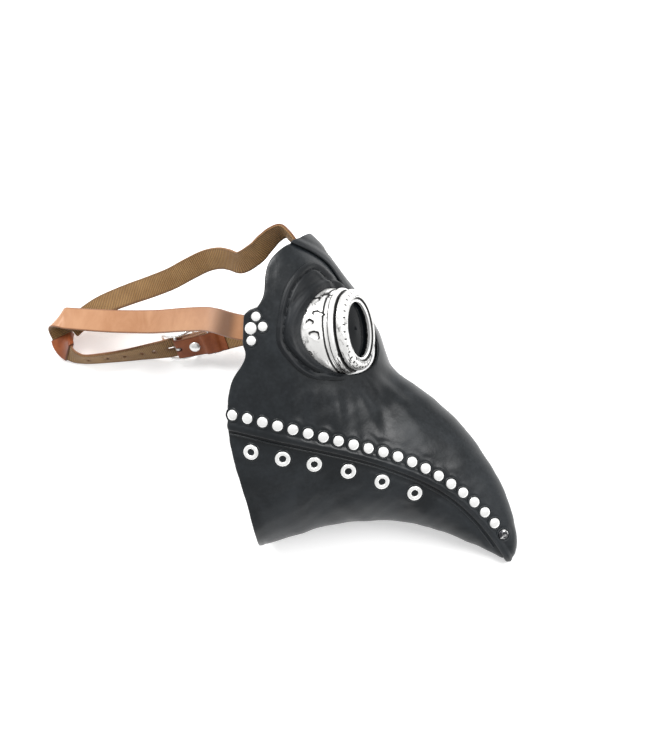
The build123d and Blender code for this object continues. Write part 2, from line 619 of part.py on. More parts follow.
def harness_nodes():
    """Every piece of the harness, in the floor frame."""
    base = base_frames()
    nodes, rivet_hole = buckle_nodes(base)
    route = long_route()
    first_far = (len(NEAR_STATIONS) + len(fold_stations()) + len(TURN_STATIONS)) * STEPS
    long_holes = [hole_at(route[first_far + i * STEPS], PUNCH_R) for i in HOLE_STATIONS]
    long_holes.append(hole_at(route[STEPS], END_HOLE_R))
    prong_slot = Solid.make_box(9.4, 2.8, 12, Plane(origin=(-10, -1.4, -3)))
    long_holes.append(local_plane(base[BAR_INDEX]) * prong_slot)
    top = strap_frames(smoothed(TOP_STATIONS, STEPS))
    top_hole = hole_at(top[STEPS], END_HOLE_R)
    short = strap_frames(smoothed(far_stations(SHORT_LIFTS)[BAR_INDEX + 1:], STEPS))
    short_holes = [hole_at(short[-1 - STEPS], END_HOLE_R), rivet_hole]
    for layer, (low, high) in LONG_LAYERS.items():
        nodes["long_strap_" + layer] = [one_solid(strap_layer(route, low, high) - long_holes)]
        nodes["top_strap_" + layer] = [one_solid(strap_layer(top, low, high, TOP_WIDTH) - top_hole)]
    for layer, (low, high) in SHORT_LAYERS.items():
        nodes["short_strap_" + layer] = [one_solid(strap_layer(short, low, high) - short_holes)]
    nodes["top_strap_loop"] = [strap_loop(route)]
    return nodes


def save(name, shapes, lay):
    """Write one node's solids, laid on the floor."""
    solids = [Pos(*(-1 * ORIGIN)) * (lay * solid) for shape in shapes for solid in shape.solids()]
    whole = solids[0] if len(solids) == 1 else Compound(children=solids)
    export_step(whole, f"parts/{name}.step")


def main():
    """Build and write every node."""
    os.makedirs("parts", exist_ok=True)
    floor = Plane(origin=UP * -FLOOR_GAP, x_dir=Vector(0, 1, 0).cross(UP), z_dir=UP)
    for name, shapes in mask_nodes().items():
        save(name, shapes, floor.location.inverse())
    for name, shapes in harness_nodes().items():
        save(name, shapes, Location())


main()
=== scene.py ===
"""Looks for the plague doctor mask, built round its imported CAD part."""
import json
import math

import bpy
import numpy as np
from mathutils import Matrix, Vector
from mathutils.bvhtree import BVHTree


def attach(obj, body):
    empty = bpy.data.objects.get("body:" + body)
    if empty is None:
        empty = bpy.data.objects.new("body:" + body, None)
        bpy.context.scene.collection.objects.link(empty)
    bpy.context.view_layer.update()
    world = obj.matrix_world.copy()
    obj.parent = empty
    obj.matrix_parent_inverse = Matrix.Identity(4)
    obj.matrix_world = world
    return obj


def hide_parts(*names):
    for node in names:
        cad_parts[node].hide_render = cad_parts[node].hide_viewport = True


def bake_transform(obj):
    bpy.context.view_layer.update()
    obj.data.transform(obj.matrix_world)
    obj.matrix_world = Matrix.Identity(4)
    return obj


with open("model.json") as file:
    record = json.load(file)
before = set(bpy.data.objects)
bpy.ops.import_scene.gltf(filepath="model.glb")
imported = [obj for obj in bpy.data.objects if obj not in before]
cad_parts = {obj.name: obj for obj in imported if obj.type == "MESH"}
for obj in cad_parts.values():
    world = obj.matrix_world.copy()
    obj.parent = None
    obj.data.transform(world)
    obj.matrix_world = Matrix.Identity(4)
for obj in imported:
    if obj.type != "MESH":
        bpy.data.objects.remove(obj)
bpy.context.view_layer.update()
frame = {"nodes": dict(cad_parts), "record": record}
NODES = frame["nodes"]

# ---- the mask's own frame
# X forward, Y up the face, Z to the wearer's right, in millimetres; the side view is Z towards the eye.
UP = np.array((-0.1328, 0.2697, 0.9538))
UP /= np.linalg.norm(UP)
SIDE = np.cross((0.0, 1.0, 0.0), UP)
SIDE /= np.linalg.norm(SIDE)
AXES = np.array([SIDE, np.cross(UP, SIDE), UP])
FLOOR_GAP = 36.75
ORIGIN = np.array((24.9, 144.0, 0.0))


def to_row(points):
    """Mask frame in mm to row frame in metres."""
    return (np.asarray(points, float) @ AXES.T + (0, 0, FLOOR_GAP) - ORIGIN) / 1000


def to_mask(points):
    """Row frame in metres to mask frame in mm."""
    return (np.asarray(points, float) * 1000 + ORIGIN - (0, 0, FLOOR_GAP)) @ AXES


def floor_to_row(points):
    """Floor frame in mm, as the harness is drawn, to row frame in metres."""
    return (np.asarray(points, float) - ORIGIN) / 1000


# ---- shapes shared with the CAD part
WALL = 2.4
JAW_INSET = WALL + 0.15
SECTION_STEPS = 9
STATIONS = [
    ((-36, 284), (-32, 8), 32, 0.62, 2.8, 1.7),
    ((-2, 290), (-6, 6), 53, 0.62, 3.0, 1.65),
    ((32, 290), (18, 9), 66.5, 0.61, 3.2, 1.6),
    ((66, 277), (40, 15.3), 68.5, 0.59, 2.8, 1.6),
    ((92, 245), (62, 23), 61, 0.54, 2.0, 1.65),
    ((112, 219), (79, 28.5), 54, 0.46, 1.6, 1.7),
    ((127, 190), (93, 31), 49, 0.43, 1.5, 1.8),
    ((135, 167), (106, 32.4), 45, 0.42, 1.7, 1.9),
    ((149, 154.5), (121, 32.6), 41, 0.43, 2.0, 2.0),
    ((172, 138), (143, 31.8), 35, 0.44, 2.0, 2.0),
    ((195, 117), (165, 27.4), 28.5, 0.45, 2.0, 2.0),
    ((217, 88), (187, 20.5), 21.5, 0.45, 2.0, 2.0),
    ((233, 57), (208, 12), 15, 0.46, 2.0, 2.0),
    ((240, 31), (222, 4.8), 10, 0.48, 2.0, 2.0),
    ((241.5, 13), (231, 0.5), 5.5, 0.5, 2.0, 2.0),
]
BEAK_TIP = (238, 2.5, 0)
MOUTH_LINE = [(-20, 118.5), (1.5, 114.5), (48, 104.2), (107, 90.6), (143, 78.9), (175, 63.8), (207, 37),
              (231, 4.8), (244, -18)]
JAW_LAP = (8.5, 16)
JAW_FRONT = [(224, 54), (229.5, 3), (229.5, -30)]
BACK_TOP = [(80, 300), (64.9, 276.1), (48, 264.5), (34, 249.5), (31, 235), (29.5, 221), (24.9, 213.1)]
TEMPLE_TAB = [(24.9, 213.1), (18.1, 210.7), (14, 206.8), (13.3, 183.3)]
BACK_LOW = [(13.3, 183.3), (15.4, 176), (12, 166), (5.4, 156.1), (1, 139), (0.3, 116), (5.4, 87.6),
            (13.3, 58.4), (23.5, 15), (29, -10)]
BROW_EDGE = [(40, 272), (52.3, 266.3), (67.8, 259.5), (82.5, 248.7), (93.2, 233.2), (104, 222), (125, 214)]
PATCH_EDGE = [(57, 243), (47.3, 228.2), (41.5, 203), (41.5, 183.3), (50.3, 170.7), (63.9, 159), (80, 155),
              (98, 158), (110, 170), (112, 205), (98, 226), (83, 243), (70, 251)]
EYE_BASE = np.array((70.2, 192.6, 33.0))
EYE_AXIS = np.array((0.910, 0.087, 0.407))
EYE_AXIS /= np.linalg.norm(EYE_AXIS)
EYE_HOLE_R = 36.6
SIDES = (("right", 1), ("left", -1))
FAR = 50.0                      # a distance in mm that stands for clear of everything


# ---- curves
def spline_matrix(knots, periodic):
    """Second derivatives of an interpolating cubic, as a matrix on its values."""
    n = len(knots)
    h = np.diff(knots)
    a, b = np.zeros((n, n)), np.zeros((n, n))
    for i in range(1, n - 1):
        a[i, i - 1], a[i, i], a[i, i + 1] = h[i - 1], 2 * (h[i - 1] + h[i]), h[i]
        b[i, i - 1], b[i, i], b[i, i + 1] = 6 / h[i - 1], -6 / h[i - 1] - 6 / h[i], 6 / h[i]
    if periodic:
        a[0, 0], a[0, -1] = 1, -1
        a[-1, 0], a[-1, 1], a[-1, -2], a[-1, -1] = 2 * h[0], h[0], h[-1], 2 * h[-1]
        b[-1, 1], b[-1, 0], b[-1, -1], b[-1, -2] = 6 / h[0], -6 / h[0], -6 / h[-1], 6 / h[-1]
    else:
        a[0, 0] = a[-1, -1] = 1
    return np.linalg.solve(a, b)


def spline_at(knots, values, where, periodic=False):
    """An interpolating cubic through values at knots."""
    values = np.asarray(values, float)
    second = np.tensordot(spline_matrix(knots, periodic), values, axes=1)
    i = np.clip(np.searchsorted(knots, where, side="right") - 1, 0, len(knots) - 2)
    shape = (-1,) + (1,) * (values.ndim - 1)
    h = (knots[i + 1] - knots[i]).reshape(shape)
    t = (where - knots[i]).reshape(shape)
    s = h - t
    return (second[i] * s**3 + second[i + 1] * t**3) / (6 * h) \
        + (values[i] / h - second[i] * h / 6) * s + (values[i + 1] / h - second[i + 1] * h / 6) * t


def lengths(points):
    """Distance along a line of points."""
    steps = np.diff(np.asarray(points, float), axis=0)
    return np.concatenate(([0], np.cumsum(np.linalg.norm(steps, axis=1))))


def curve(points, count=90, periodic=False):
    """Points along a smooth line through points."""
    points = list(points) + [points[0]] if periodic else list(points)
    knots = lengths(points)
    return spline_at(knots, points, np.linspace(0, knots[-1], count), periodic)


# ---- the rubber surface
def station_ring(station, inset):
    """One closed section of the shell, moved inwards by inset."""
    (tx, ty), (bx, by), half, widest, top_full, keel_full = station
    height = math.hypot(tx - bx, ty - by)
    up = ((tx - bx) / height, (ty - by) / height)
    side = []
    for i in range(SECTION_STEPS + 1):
        f = (1 - math.cos(math.pi * i / SECTION_STEPS)) / 2
        reach, full = (1 - widest, top_full) if f > widest else (widest, keel_full)
        side.append((f * height, half * max(0.0, 1 - (abs(f - widest) / reach) ** full) ** 0.5))
    loop = side + [(h, -w) for h, w in reversed(side[1:-1])]
    ring = []
    for i, (h, w) in enumerate(loop):
        (h0, w0), (h1, w1) = loop[i - 1], loop[(i + 1) % len(loop)]
        length = math.hypot(h1 - h0, w1 - w0)
        h, w = h + (w1 - w0) / length * inset, w - (h1 - h0) / length * inset
        ring.append((bx + up[0] * h, by + up[1] * h, w))
    return np.array(ring + ring[:1])


def surface(inset, spacing):
    """Even points on the closed shell, rows from the back to the tip: places and outward normals."""
    rings = [station_ring(s, inset) for s in STATIONS]
    middle = lengths(rings[3])
    count = int(middle[-1] / spacing)
    even = np.linspace(0, middle[-1], count, endpoint=False)
    place = np.interp(even, middle, np.arange(len(middle)))
    index, part = place.astype(int), place % 1
    dense = []
    for ring in rings:
        knots = lengths(ring)
        dense.append(spline_at(knots, ring, knots[index] + part * np.diff(knots)[index], True))
    dense.append(np.repeat([BEAK_TIP], count, axis=0).astype(float))
    dense = np.array(dense)
    knots = np.concatenate(([0], np.cumsum(np.linalg.norm(np.diff(dense, axis=0), axis=2).mean(axis=1))))
    rows = np.arange(knots[1] - 12, knots[-1] - 1.2, spacing)
    points = spline_at(knots, dense, rows)
    return points, grid_normals(points, True)


def grid_normals(points, wrap):
    """Unit normals of a grid of points."""
    du = np.gradient(points, axis=0)
    if wrap:
        dv = np.roll(points, -1, axis=1) - np.roll(points, 1, axis=1)
    else:
        dv = np.gradient(points, axis=1)
    normal = np.cross(du, dv)
    normal /= np.maximum(np.linalg.norm(normal, axis=2, keepdims=True), 1e-9)
    if wrap:
        centre = points.mean(axis=1, keepdims=True)
        if np.median(((points - centre) * normal).sum(axis=2)) < 0:
            normal = -normal
    return normal


def tree_of(*names):
    """The CAD nodes' faces, in the mask's frame, for finding places on them."""
    verts, faces = [], []
    for name in names:
        mesh = NODES[name].data
        base = len(verts)
        verts.extend(map(Vector, to_mask([v.co for v in mesh.vertices])))
        faces.extend([[base + i for i in p.vertices] for p in mesh.polygons])
    return BVHTree.FromPolygons(verts, faces)


def fitted(points, normals, node):
    """A grid moved along its normals on to a CAD node's outside, smoothly filled where that is cut away."""
    tree = tree_of(node)
    gap = np.full(points.shape[:2], np.nan)
    for i in range(points.shape[0]):
        for j in range(points.shape[1]):
            way = Vector(normals[i, j])
            start = Vector(points[i, j] + normals[i, j] * FIT_REACH)
            hit, normal, _, distance = tree.ray_cast(start, -way, 2 * FIT_REACH)
            if hit is not None and abs(FIT_REACH - distance) < FIT_LIMIT and abs(normal.dot(way)) > 0.8:
                gap[i, j] = FIT_REACH - distance
    known = ~np.isnan(gap)
    filled, have = np.where(known, gap, 0.0), known.copy()
    for _ in range(120):
        weight, total = blur(have.astype(float)), blur(np.where(have, filled, 0.0))
        new = ~have & (weight > 1e-6)
        filled[new] = (total / np.maximum(weight, 1e-9))[new]
        have |= new
    for _ in range(4):
        filled = blur(filled)
    return points + normals * filled[..., None]


def blur(field):
    """One smoothing pass over a grid that is closed sideways."""
    rows = np.vstack([field[:1], field, field[-1:]])
    field = (rows[:-2] + 2 * field + rows[2:]) / 4
    return (np.roll(field, 1, axis=1) + 2 * field + np.roll(field, -1, axis=1)) / 4


# ---- outlines
def line_distance(points, line):
    """Distance from side-view points to a line of points."""
    best = np.full(len(points), 1e9)
    for a, b in zip(line[:-1], line[1:]):
        d = b - a
        t = np.clip(((points - a) @ d) / max(d @ d, 1e-12), 0, 1)
        best = np.minimum(best, ((points - a - t[:, None] * d) ** 2).sum(axis=1))
    return np.sqrt(best)


def inside(points, loop):
    """Whether side-view points lie inside a closed outline."""
    x, y = points[:, 0], points[:, 1]
    odd = np.zeros(len(points), bool)
    for (x0, y0), (x1, y1) in zip(loop, np.roll(loop, -1, axis=0)):
        if y0 != y1:
            odd ^= ((y0 > y) != (y1 > y)) & (x < (x1 - x0) * (y - y0) / (y1 - y0) + x0)
    return odd


def region(points, loop):
    """Signed distance to a closed side-view outline, positive inside."""
    loop = np.asarray(loop, float)
    ring = np.vstack([loop, loop[:1]])
    sign = np.where(inside(points, loop), 1.0, -1.0)
    return sign * line_distance(points, ring)


def above(points, line):
    """Signed distance to a side-view line that runs forward, positive above it."""
    sign = np.sign(points[:, 1] - np.interp(points[:, 0], line[:, 0], line[:, 1]))
    return sign * line_distance(points, line)


def back_loop():
    """The outline of everything in front of the mask's open back."""
    return np.vstack([curve(BACK_TOP, 60), TEMPLE_TAB[1:-1], curve(BACK_LOW, 80), [(300, -10), (300, 300)]])


def eye_distance(points):
    """Distance outside the nearer eyepiece's hole."""
    best = np.full(len(points), 1e3)
    for side in (1, -1):
        flip = np.array((1, 1, side))
        offset = points - EYE_BASE * flip
        height = offset @ (EYE_AXIS * flip)
        radial = np.sqrt(np.maximum((offset**2).sum(axis=1) - height**2, 0)) - EYE_HOLE_R
        best = np.minimum(best, np.where(height > -24, radial, 1e3))
    return best


def bump(d, at, width):
    """A smooth rounded bump of a distance."""
    return np.exp(-((d - at) / width) ** 2)


def smoothstep(d, low, high):
    """0 below low, 1 above high, smooth between."""
    t = np.clip((d - low) / (high - low), 0, 1)
    return t * t * (3 - 2 * t)


# ---- panels cut from a grid
def grid_faces(rows, columns, wrap):
    """The quads of a grid, whose points are numbered row by row."""
    last = columns if wrap else columns - 1
    faces = []
    for i in range(rows - 1):
        for j in range(last):
            k = (j + 1) % columns
            faces.append((i * columns + j, i * columns + k, (i + 1) * columns + k, (i + 1) * columns + j))
    return faces


def ring_faces(rows, count, closed=True, flip=False):
    """The quads between rows of points, each row a closed ring."""
    faces = []
    for i in range(rows if closed else rows - 1):
        for j in range(count):
            k, m = (i + 1) % rows, (j + 1) % count
            face = (i * count + j, k * count + j, k * count + m, i * count + m)
            faces.append(face[::-1] if flip else face)
    return faces


def clipped(data, faces, field):
    """The part of a mesh where a column of its data is positive, cut exactly along its zero line."""
    values = data[:, field]
    keep = values >= 0
    made, extra, kept = {}, [], []
    for face in faces:
        flags = [keep[i] for i in face]
        if all(flags):
            kept.append(face)
            continue
        if not any(flags):
            continue
        cut = []
        for a, b in zip(face, face[1:] + face[:1]):
            if keep[a]:
                cut.append(a)
            if keep[a] != keep[b]:
                low, high = min(a, b), max(a, b)
                if (low, high) not in made:
                    t = values[low] / (values[low] - values[high])
                    made[(low, high)] = len(data) + len(extra)
                    extra.append(data[low] + (data[high] - data[low]) * t)
                cut.append(made[(low, high)])
        if len(cut) > 2:
            kept.append(tuple(cut))
    return (np.vstack([data, extra]) if extra else data), kept


PLACE, NORMAL, LIFT, FIRST = slice(0, 3), slice(3, 6), 6, 7


def panel(name, points, normals, lift, cuts, low, high, wrap, bulge=0.8, extras=None, steps=4):
    """A soft sheet: a grid cut to its outlines, given its thickness and rounded edges.
    Points are in mm in the piece's own drawing frame; the result is a dict of arrays."""
    rows, columns = points.shape[:2]
    extras = extras or {}
    columns_of = [points.reshape(-1, 3), normals.reshape(-1, 3), lift.reshape(-1, 1)]
    columns_of += [cut.reshape(-1, 1) for cut in cuts]
    columns_of += [extra.reshape(-1, 1) for extra in extras.values()]
    data = np.hstack(columns_of)
    faces = grid_faces(rows, columns, wrap)
    for k in range(len(cuts)):
        data, faces = clipped(data, faces, FIRST + k)
    used = np.unique(np.concatenate([np.asarray(f) for f in faces]))
    number = np.full(len(data), -1)
    number[used] = np.arange(len(used))
    data = data[used]
    faces = [tuple(number[i] for i in f) for f in faces]
    a, b, c = (data[[f[k] for f in faces[:400]], PLACE] for k in range(3))
    facing = (np.cross(b - a, c - a) * data[[f[0] for f in faces[:400]], NORMAL]).sum(axis=1)
    if np.median(facing) < 0:
        faces = [f[::-1] for f in faces]
    n = len(data)
    normal = data[:, NORMAL] / np.linalg.norm(data[:, NORMAL], axis=1, keepdims=True)
    outer = data[:, PLACE] + normal * (high + data[:, LIFT:LIFT + 1])
    inner = data[:, PLACE] + normal * low
    edges = {}
    for f in faces:
        for p, q in zip(f, f[1:] + f[:1]):
            if (q, p) in edges:
                del edges[(q, p)]
            else:
                edges[(p, q)] = True
    rim = sorted(edges)
    outward = np.zeros((n, 3))
    for p, q in rim:
        way = np.cross(data[q, PLACE] - data[p, PLACE], normal[p])
        way /= max(np.linalg.norm(way), 1e-9)
        outward[p] += way
        outward[q] += way
    border = sorted({i for edge in rim for i in edge})
    order = {i: k for k, i in enumerate(border)}
    outward = outward[border]
    outward /= np.maximum(np.linalg.norm(outward, axis=1, keepdims=True), 1e-9)
    middle, half = (outer[border] + inner[border]) / 2, (outer[border] - inner[border]) / 2
    reach = np.linalg.norm(half, axis=1, keepdims=True) * bulge
    verts, m = [outer, inner], len(border)
    for k in range(1, steps):
        angle = math.pi * k / steps
        verts.append(middle + half * math.cos(angle) + outward * reach * math.sin(angle))
    all_faces = list(faces) + [tuple(i + n for i in f[::-1]) for f in faces]
    for p, q in rim:
        chain_p = [p] + [2 * n + k * m + order[p] for k in range(steps - 1)] + [p + n]
        chain_q = [q] + [2 * n + k * m + order[q] for k in range(steps - 1)] + [q + n]
        for k in range(steps):
            all_faces.append((chain_q[k], chain_p[k], chain_p[k + 1], chain_q[k + 1]))
    edge = np.full(n, FAR)
    for k in range(len(cuts)):
        edge = np.minimum(edge, data[:, FIRST + k])
    edge = np.maximum(edge, 0)
    if not wrap:
        edge[border] = 0
    marks = {"edge": np.concatenate([edge, edge, np.zeros(m * (steps - 1))])}
    for k, key in enumerate(extras):
        column = data[:, FIRST + len(cuts) + k]
        marks[key] = np.concatenate([column, column, np.tile(column[border], steps - 1)])
    return {"name": name, "verts": np.vstack(verts), "faces": all_faces, "marks": marks}


def make(part, convert, material, body, replaces=()):
    """A Blender mesh from a panel or a list of them, set on its body."""
    parts = part if isinstance(part, list) else [part]
    verts, faces, marks = [], [], {}
    for one in parts:
        base = sum(len(v) for v in verts)
        verts.append(convert(one["verts"]))
        faces.extend([tuple(int(i) + base for i in f) for f in one["faces"]])
        for key, values in one.get("marks", {}).items():
            marks.setdefault(key, []).append(values)
    mesh = bpy.data.meshes.new(parts[0]["name"])
    mesh.from_pydata(np.vstack(verts).tolist(), [], faces)
    mesh.validate()
    for key, values in marks.items():
        column = mesh.attributes.new(key, "FLOAT", "POINT")
        column.data.foreach_set("value", np.concatenate(values).astype(np.float32))
    mesh.polygons.foreach_set("use_smooth", [True] * len(mesh.polygons))
    mesh.materials.append(material)
    piece = bpy.data.objects.new(parts[0]["name"], mesh)
    bpy.context.scene.collection.objects.link(piece)
    if replaces:
        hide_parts(*replaces)
    if body:
        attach(piece, body)
    return piece


# ---- materials
MIX_INPUTS = (0, 6, 7)          # a colour mix node's factor, A and B
MIX_RESULT = 2
RIB_PITCH, THREAD_PITCH = 1.75, 0.9     # of the webbing, in mm
CURL_SHADE_SHARE = 0.92                       # how dark the painted shade goes where the long strap curls by the temple tab


class Look:
    """Builds one procedural material node by node."""

    def __init__(self, name, color, roughness, metallic=0.0, **constants):
        self.material = bpy.data.materials.new(name)
        self.material.use_nodes = True
        self.tree = self.material.node_tree
        self.shader = self.tree.nodes["Principled BSDF"]
        self.set(self.shader, "Base Color", (*color, 1))
        self.set(self.shader, "Roughness", roughness)
        self.set(self.shader, "Metallic", metallic)
        for key, value in constants.items():
            self.set(self.shader, key.replace("_", " "), value)
        self.coords = self.tree.nodes.new("ShaderNodeTexCoord").outputs["Object"]

    @staticmethod
    def set(node, socket, value):
        node.inputs[socket].default_value = value

    def link(self, source, node, socket):
        self.tree.links.new(source, node.inputs[socket])

    def noise(self, scale, detail, rough, distort=0.0):
        """A cloudy pattern, its scale per metre."""
        node = self.tree.nodes.new("ShaderNodeTexNoise")
        self.set(node, "Scale", scale)
        self.set(node, "Detail", detail)
        self.set(node, "Roughness", rough)
        self.set(node, "Distortion", distort)
        self.link(self.coords, node, "Vector")
        return node.outputs["Fac"]

    def cells(self, scale):
        """Soft round cells, their scale per metre."""
        node = self.tree.nodes.new("ShaderNodeTexVoronoi")
        node.feature = "SMOOTH_F1"
        self.set(node, "Scale", scale)
        self.link(self.coords, node, "Vector")
        return node.outputs["Distance"]

    def mark(self, name):
        """A number stored on the piece's own vertices."""
        node = self.tree.nodes.new("ShaderNodeAttribute")
        node.attribute_name = name
        return node.outputs["Fac"]

    def spread(self, value, low, high, to_low=0.0, to_high=1.0):
        """A value's range moved to another, clamped and smooth."""
        node = self.tree.nodes.new("ShaderNodeMapRange")
        node.interpolation_type = "SMOOTHSTEP"
        for socket, number in zip(("From Min", "From Max", "To Min", "To Max"), (low, high, to_low, to_high)):
            self.set(node, socket, number)
        self.link(value, node, "Value")
        return node.outputs["Result"]

    def feed(self, socket, value):
        """A number, a colour or another node's output into a socket."""
        if isinstance(value, (int, float)):
            socket.default_value = value
        elif isinstance(value, tuple):
            socket.default_value = (*value, 1)
        else:
            self.tree.links.new(value, socket)

    def math(self, kind, *values):
        """Arithmetic on one or two values."""
        node = self.tree.nodes.new("ShaderNodeMath")
        node.operation = kind
        for socket, value in zip(node.inputs, values):
            self.feed(socket, value)
        return node.outputs["Value"]

    def mix(self, factor, a, b):
        """Two colours mixed by a factor."""
        node = self.tree.nodes.new("ShaderNodeMix")
        node.data_type = "RGBA"
        for index, value in zip(MIX_INPUTS, (factor, a, b)):
            self.feed(node.inputs[index], value)
        return node.outputs[MIX_RESULT]

    def color(self, value):
        self.link(value, self.shader, "Base Color")

    def roughness(self, value):
        self.link(value, self.shader, "Roughness")

    def relief(self, *layers):
        """Bump layers, each (height, strength, distance in metres), chained."""
        previous = None
        for height, strength, distance in layers:
            node = self.tree.nodes.new("ShaderNodeBump")
            self.set(node, "Strength", strength)
            self.set(node, "Distance", distance)
            self.link(height, node, "Height")
            if previous is not None:
                self.link(previous, node, "Normal")
            previous = node.outputs["Normal"]
        self.link(previous, self.shader, "Normal")


def rubber_look():
    """Black moulded rubber: dusty clouds, fine pores, satin."""
    look = Look("rubber_black", (0.012, 0.014, 0.017), 0.45, Specular_IOR_Level=0.38)
    cloud = look.noise(14, 5, 0.6, distort=0.6)
    fine = look.noise(320, 3, 0.6)
    dust = look.spread(look.math("ADD", cloud, look.math("MULTIPLY", fine, 0.25)), 0.52, 0.82)
    look.color(look.mix(dust, (0.0042, 0.0060, 0.0076), (0.0135, 0.0170, 0.0205)))
    worn = look.math("ADD", cloud, look.math("MULTIPLY", fine, 0.35))
    look.roughness(look.spread(worn, 0.4, 0.95, 0.27, 0.47))
    look.relief((look.noise(55, 4, 0.6), 0.25, 0.0012), (look.noise(900, 2, 0.5), 0.14, 0.0002),
                (look.cells(420), 0.1, 0.0003))
    return look.material


def skin_look():
    """The sewn-on leather skins: finer grain, slightly greyer."""
    look = Look("leather_black", (0.014, 0.015, 0.018), 0.5, Specular_IOR_Level=0.26)
    cloud = look.noise(22, 5, 0.65, distort=0.4)
    dust = look.spread(cloud, 0.45, 0.75)
    look.color(look.mix(dust, (0.0052, 0.0066, 0.0082), (0.0145, 0.017, 0.020)))
    look.roughness(look.spread(cloud, 0.3, 0.8, 0.4, 0.6))
    look.relief((look.noise(70, 4, 0.6), 0.25, 0.001), (look.cells(700), 0.16, 0.0003),
                (look.noise(1500, 2, 0.5), 0.1, 0.0002))
    return look.material


def silver_look():
    """Silver paint rubbed over black: worn, dark in the hollows, plus the eyepieces' dark mark, which adds
    painted shade.
    """
    look = Look("silver_paint", (0.72, 0.72, 0.70), 0.36, 0.55)
    cloud = look.noise(60, 5, 0.65, distort=0.8)
    speck = look.noise(420, 3, 0.6)
    dirt = look.spread(look.math("ADD", cloud, look.math("MULTIPLY", speck, 0.35)), 0.72, 0.92)
    # the dark mark holds dark wash in the hollows plus painted shade and a painted shadow from the eyepiece
    # reliefs
    ragged = look.math("ADD", look.mark("dark"), look.math("MULTIPLY", look.noise(260, 4, 0.7), 0.35))
    stain_and_shade = look.math("MAXIMUM", dirt, look.spread(ragged, 0.42, 0.78))
    look.color(look.mix(stain_and_shade, (0.88, 0.875, 0.86), (0.018, 0.018, 0.018)))
    look.roughness(look.spread(stain_and_shade, 0, 1, 0.32, 0.6))
    look.relief((look.noise(180, 4, 0.6), 0.3, 0.0006), (speck, 0.15, 0.0003))
    return look.material


def chrome_look():
    """Nickel-plated fasteners with light handling marks, and painted dark reflection patches where the dark
    mark is set.
    """
    look = Look("nickel_plate", (0.9, 0.9, 0.89), 0.2, 0.5)
    haze = look.noise(160, 4, 0.6)
    look.roughness(look.spread(haze, 0.3, 0.75, 0.12, 0.28))
    bright = look.mix(look.spread(haze, 0.45, 0.8), (0.93, 0.93, 0.92), (0.78, 0.78, 0.76))
    dark_reflection_patches = look.math("MULTIPLY", look.mark("dark"), look.spread(look.noise(230, 3, 0.6), 0.36, 0.5))
    look.color(look.mix(dark_reflection_patches, bright, (0.03, 0.03, 0.035)))
    look.relief((look.noise(700, 2, 0.5), 0.05, 0.0002))
    return look.material


def steel_look():
    """Plain washers inside the mask."""
    look = Look("steel_plain", (0.55, 0.55, 0.55), 0.35, 1.0)
    haze = look.noise(240, 4, 0.6)
    look.roughness(look.spread(haze, 0.3, 0.75, 0.28, 0.45))
    look.relief((look.noise(1200, 2, 0.5), 0.08, 0.0002))
    return look.material


def plastic_look():
    """Moulded black plastic."""
    look = Look("plastic_black", (0.012, 0.012, 0.013), 0.42)
    look.roughness(look.spread(look.noise(300, 3, 0.5), 0.3, 0.7, 0.36, 0.5))
    look.relief((look.noise(1400, 2, 0.5), 0.1, 0.0002))
    return look.material


def lens_look():
    """Smoked glass."""
    look = Look("lens_smoked", (0.003, 0.004, 0.005), 0.05, 0.0, Specular_IOR_Level=0.06, IOR=1.2)
    look.roughness(look.spread(look.noise(90, 3, 0.6), 0.4, 0.8, 0.03, 0.1))
    look.relief((look.noise(40, 2, 0.5), 0.02, 0.0005))
    return look.material


def tan_look():
    """Smooth veg-tanned strap leather, paler on its worn face, darker at its cut edges, with painted shade
    where the strap curls by the temple tab.
    """
    look = Look("leather_tan", (0.52, 0.24, 0.12), 0.42, Specular_IOR_Level=0.45)
    cloud = look.noise(35, 5, 0.65, distort=0.5)
    pores = look.cells(1900)
    tone = look.mix(look.spread(cloud, 0.3, 0.75), (0.37, 0.172, 0.080), (0.475, 0.250, 0.132))
    rim = look.spread(look.mark("edge"), 0.0, 1.1, 1.0, 0.0)
    along = look.mark("along")
    # painted shade: darker from 14 to 68 mm along the strap, where it curls by the temple tab
    curl_shade = look.math("MULTIPLY", look.spread(along, 36.0, 68.0, 1.0, 0.0), look.spread(along, 14.0, 32.0))
    tone = look.mix(look.math("MULTIPLY", curl_shade, CURL_SHADE_SHARE), tone, (0.10, 0.036, 0.009))
    look.color(look.mix(look.math("MULTIPLY", rim, 0.75), tone, (0.16, 0.058, 0.024)))
    look.roughness(look.spread(cloud, 0.3, 0.8, 0.34, 0.52))
    look.relief((look.noise(160, 4, 0.6), 0.16, 0.0006), (pores, 0.16, 0.0002))
    return look.material


def brown_look():
    """The darker pulled-up leather of the chape."""
    look = Look("leather_brown", (0.19, 0.068, 0.03), 0.4, Specular_IOR_Level=0.25)
    cloud = look.noise(60, 5, 0.65, distort=0.5)
    tone = look.mix(look.spread(cloud, 0.3, 0.75), (0.175, 0.042, 0.013), (0.29, 0.085, 0.028))
    rim = look.spread(look.mark("edge"), 0.0, 1.0, 1.0, 0.0)
    look.color(look.mix(look.math("MULTIPLY", rim, 0.7), tone, (0.06, 0.02, 0.01)))
    look.roughness(look.spread(cloud, 0.3, 0.8, 0.32, 0.5))
    look.relief((look.noise(260, 4, 0.6), 0.2, 0.0005), (look.cells(1700), 0.16, 0.0002))
    return look.material


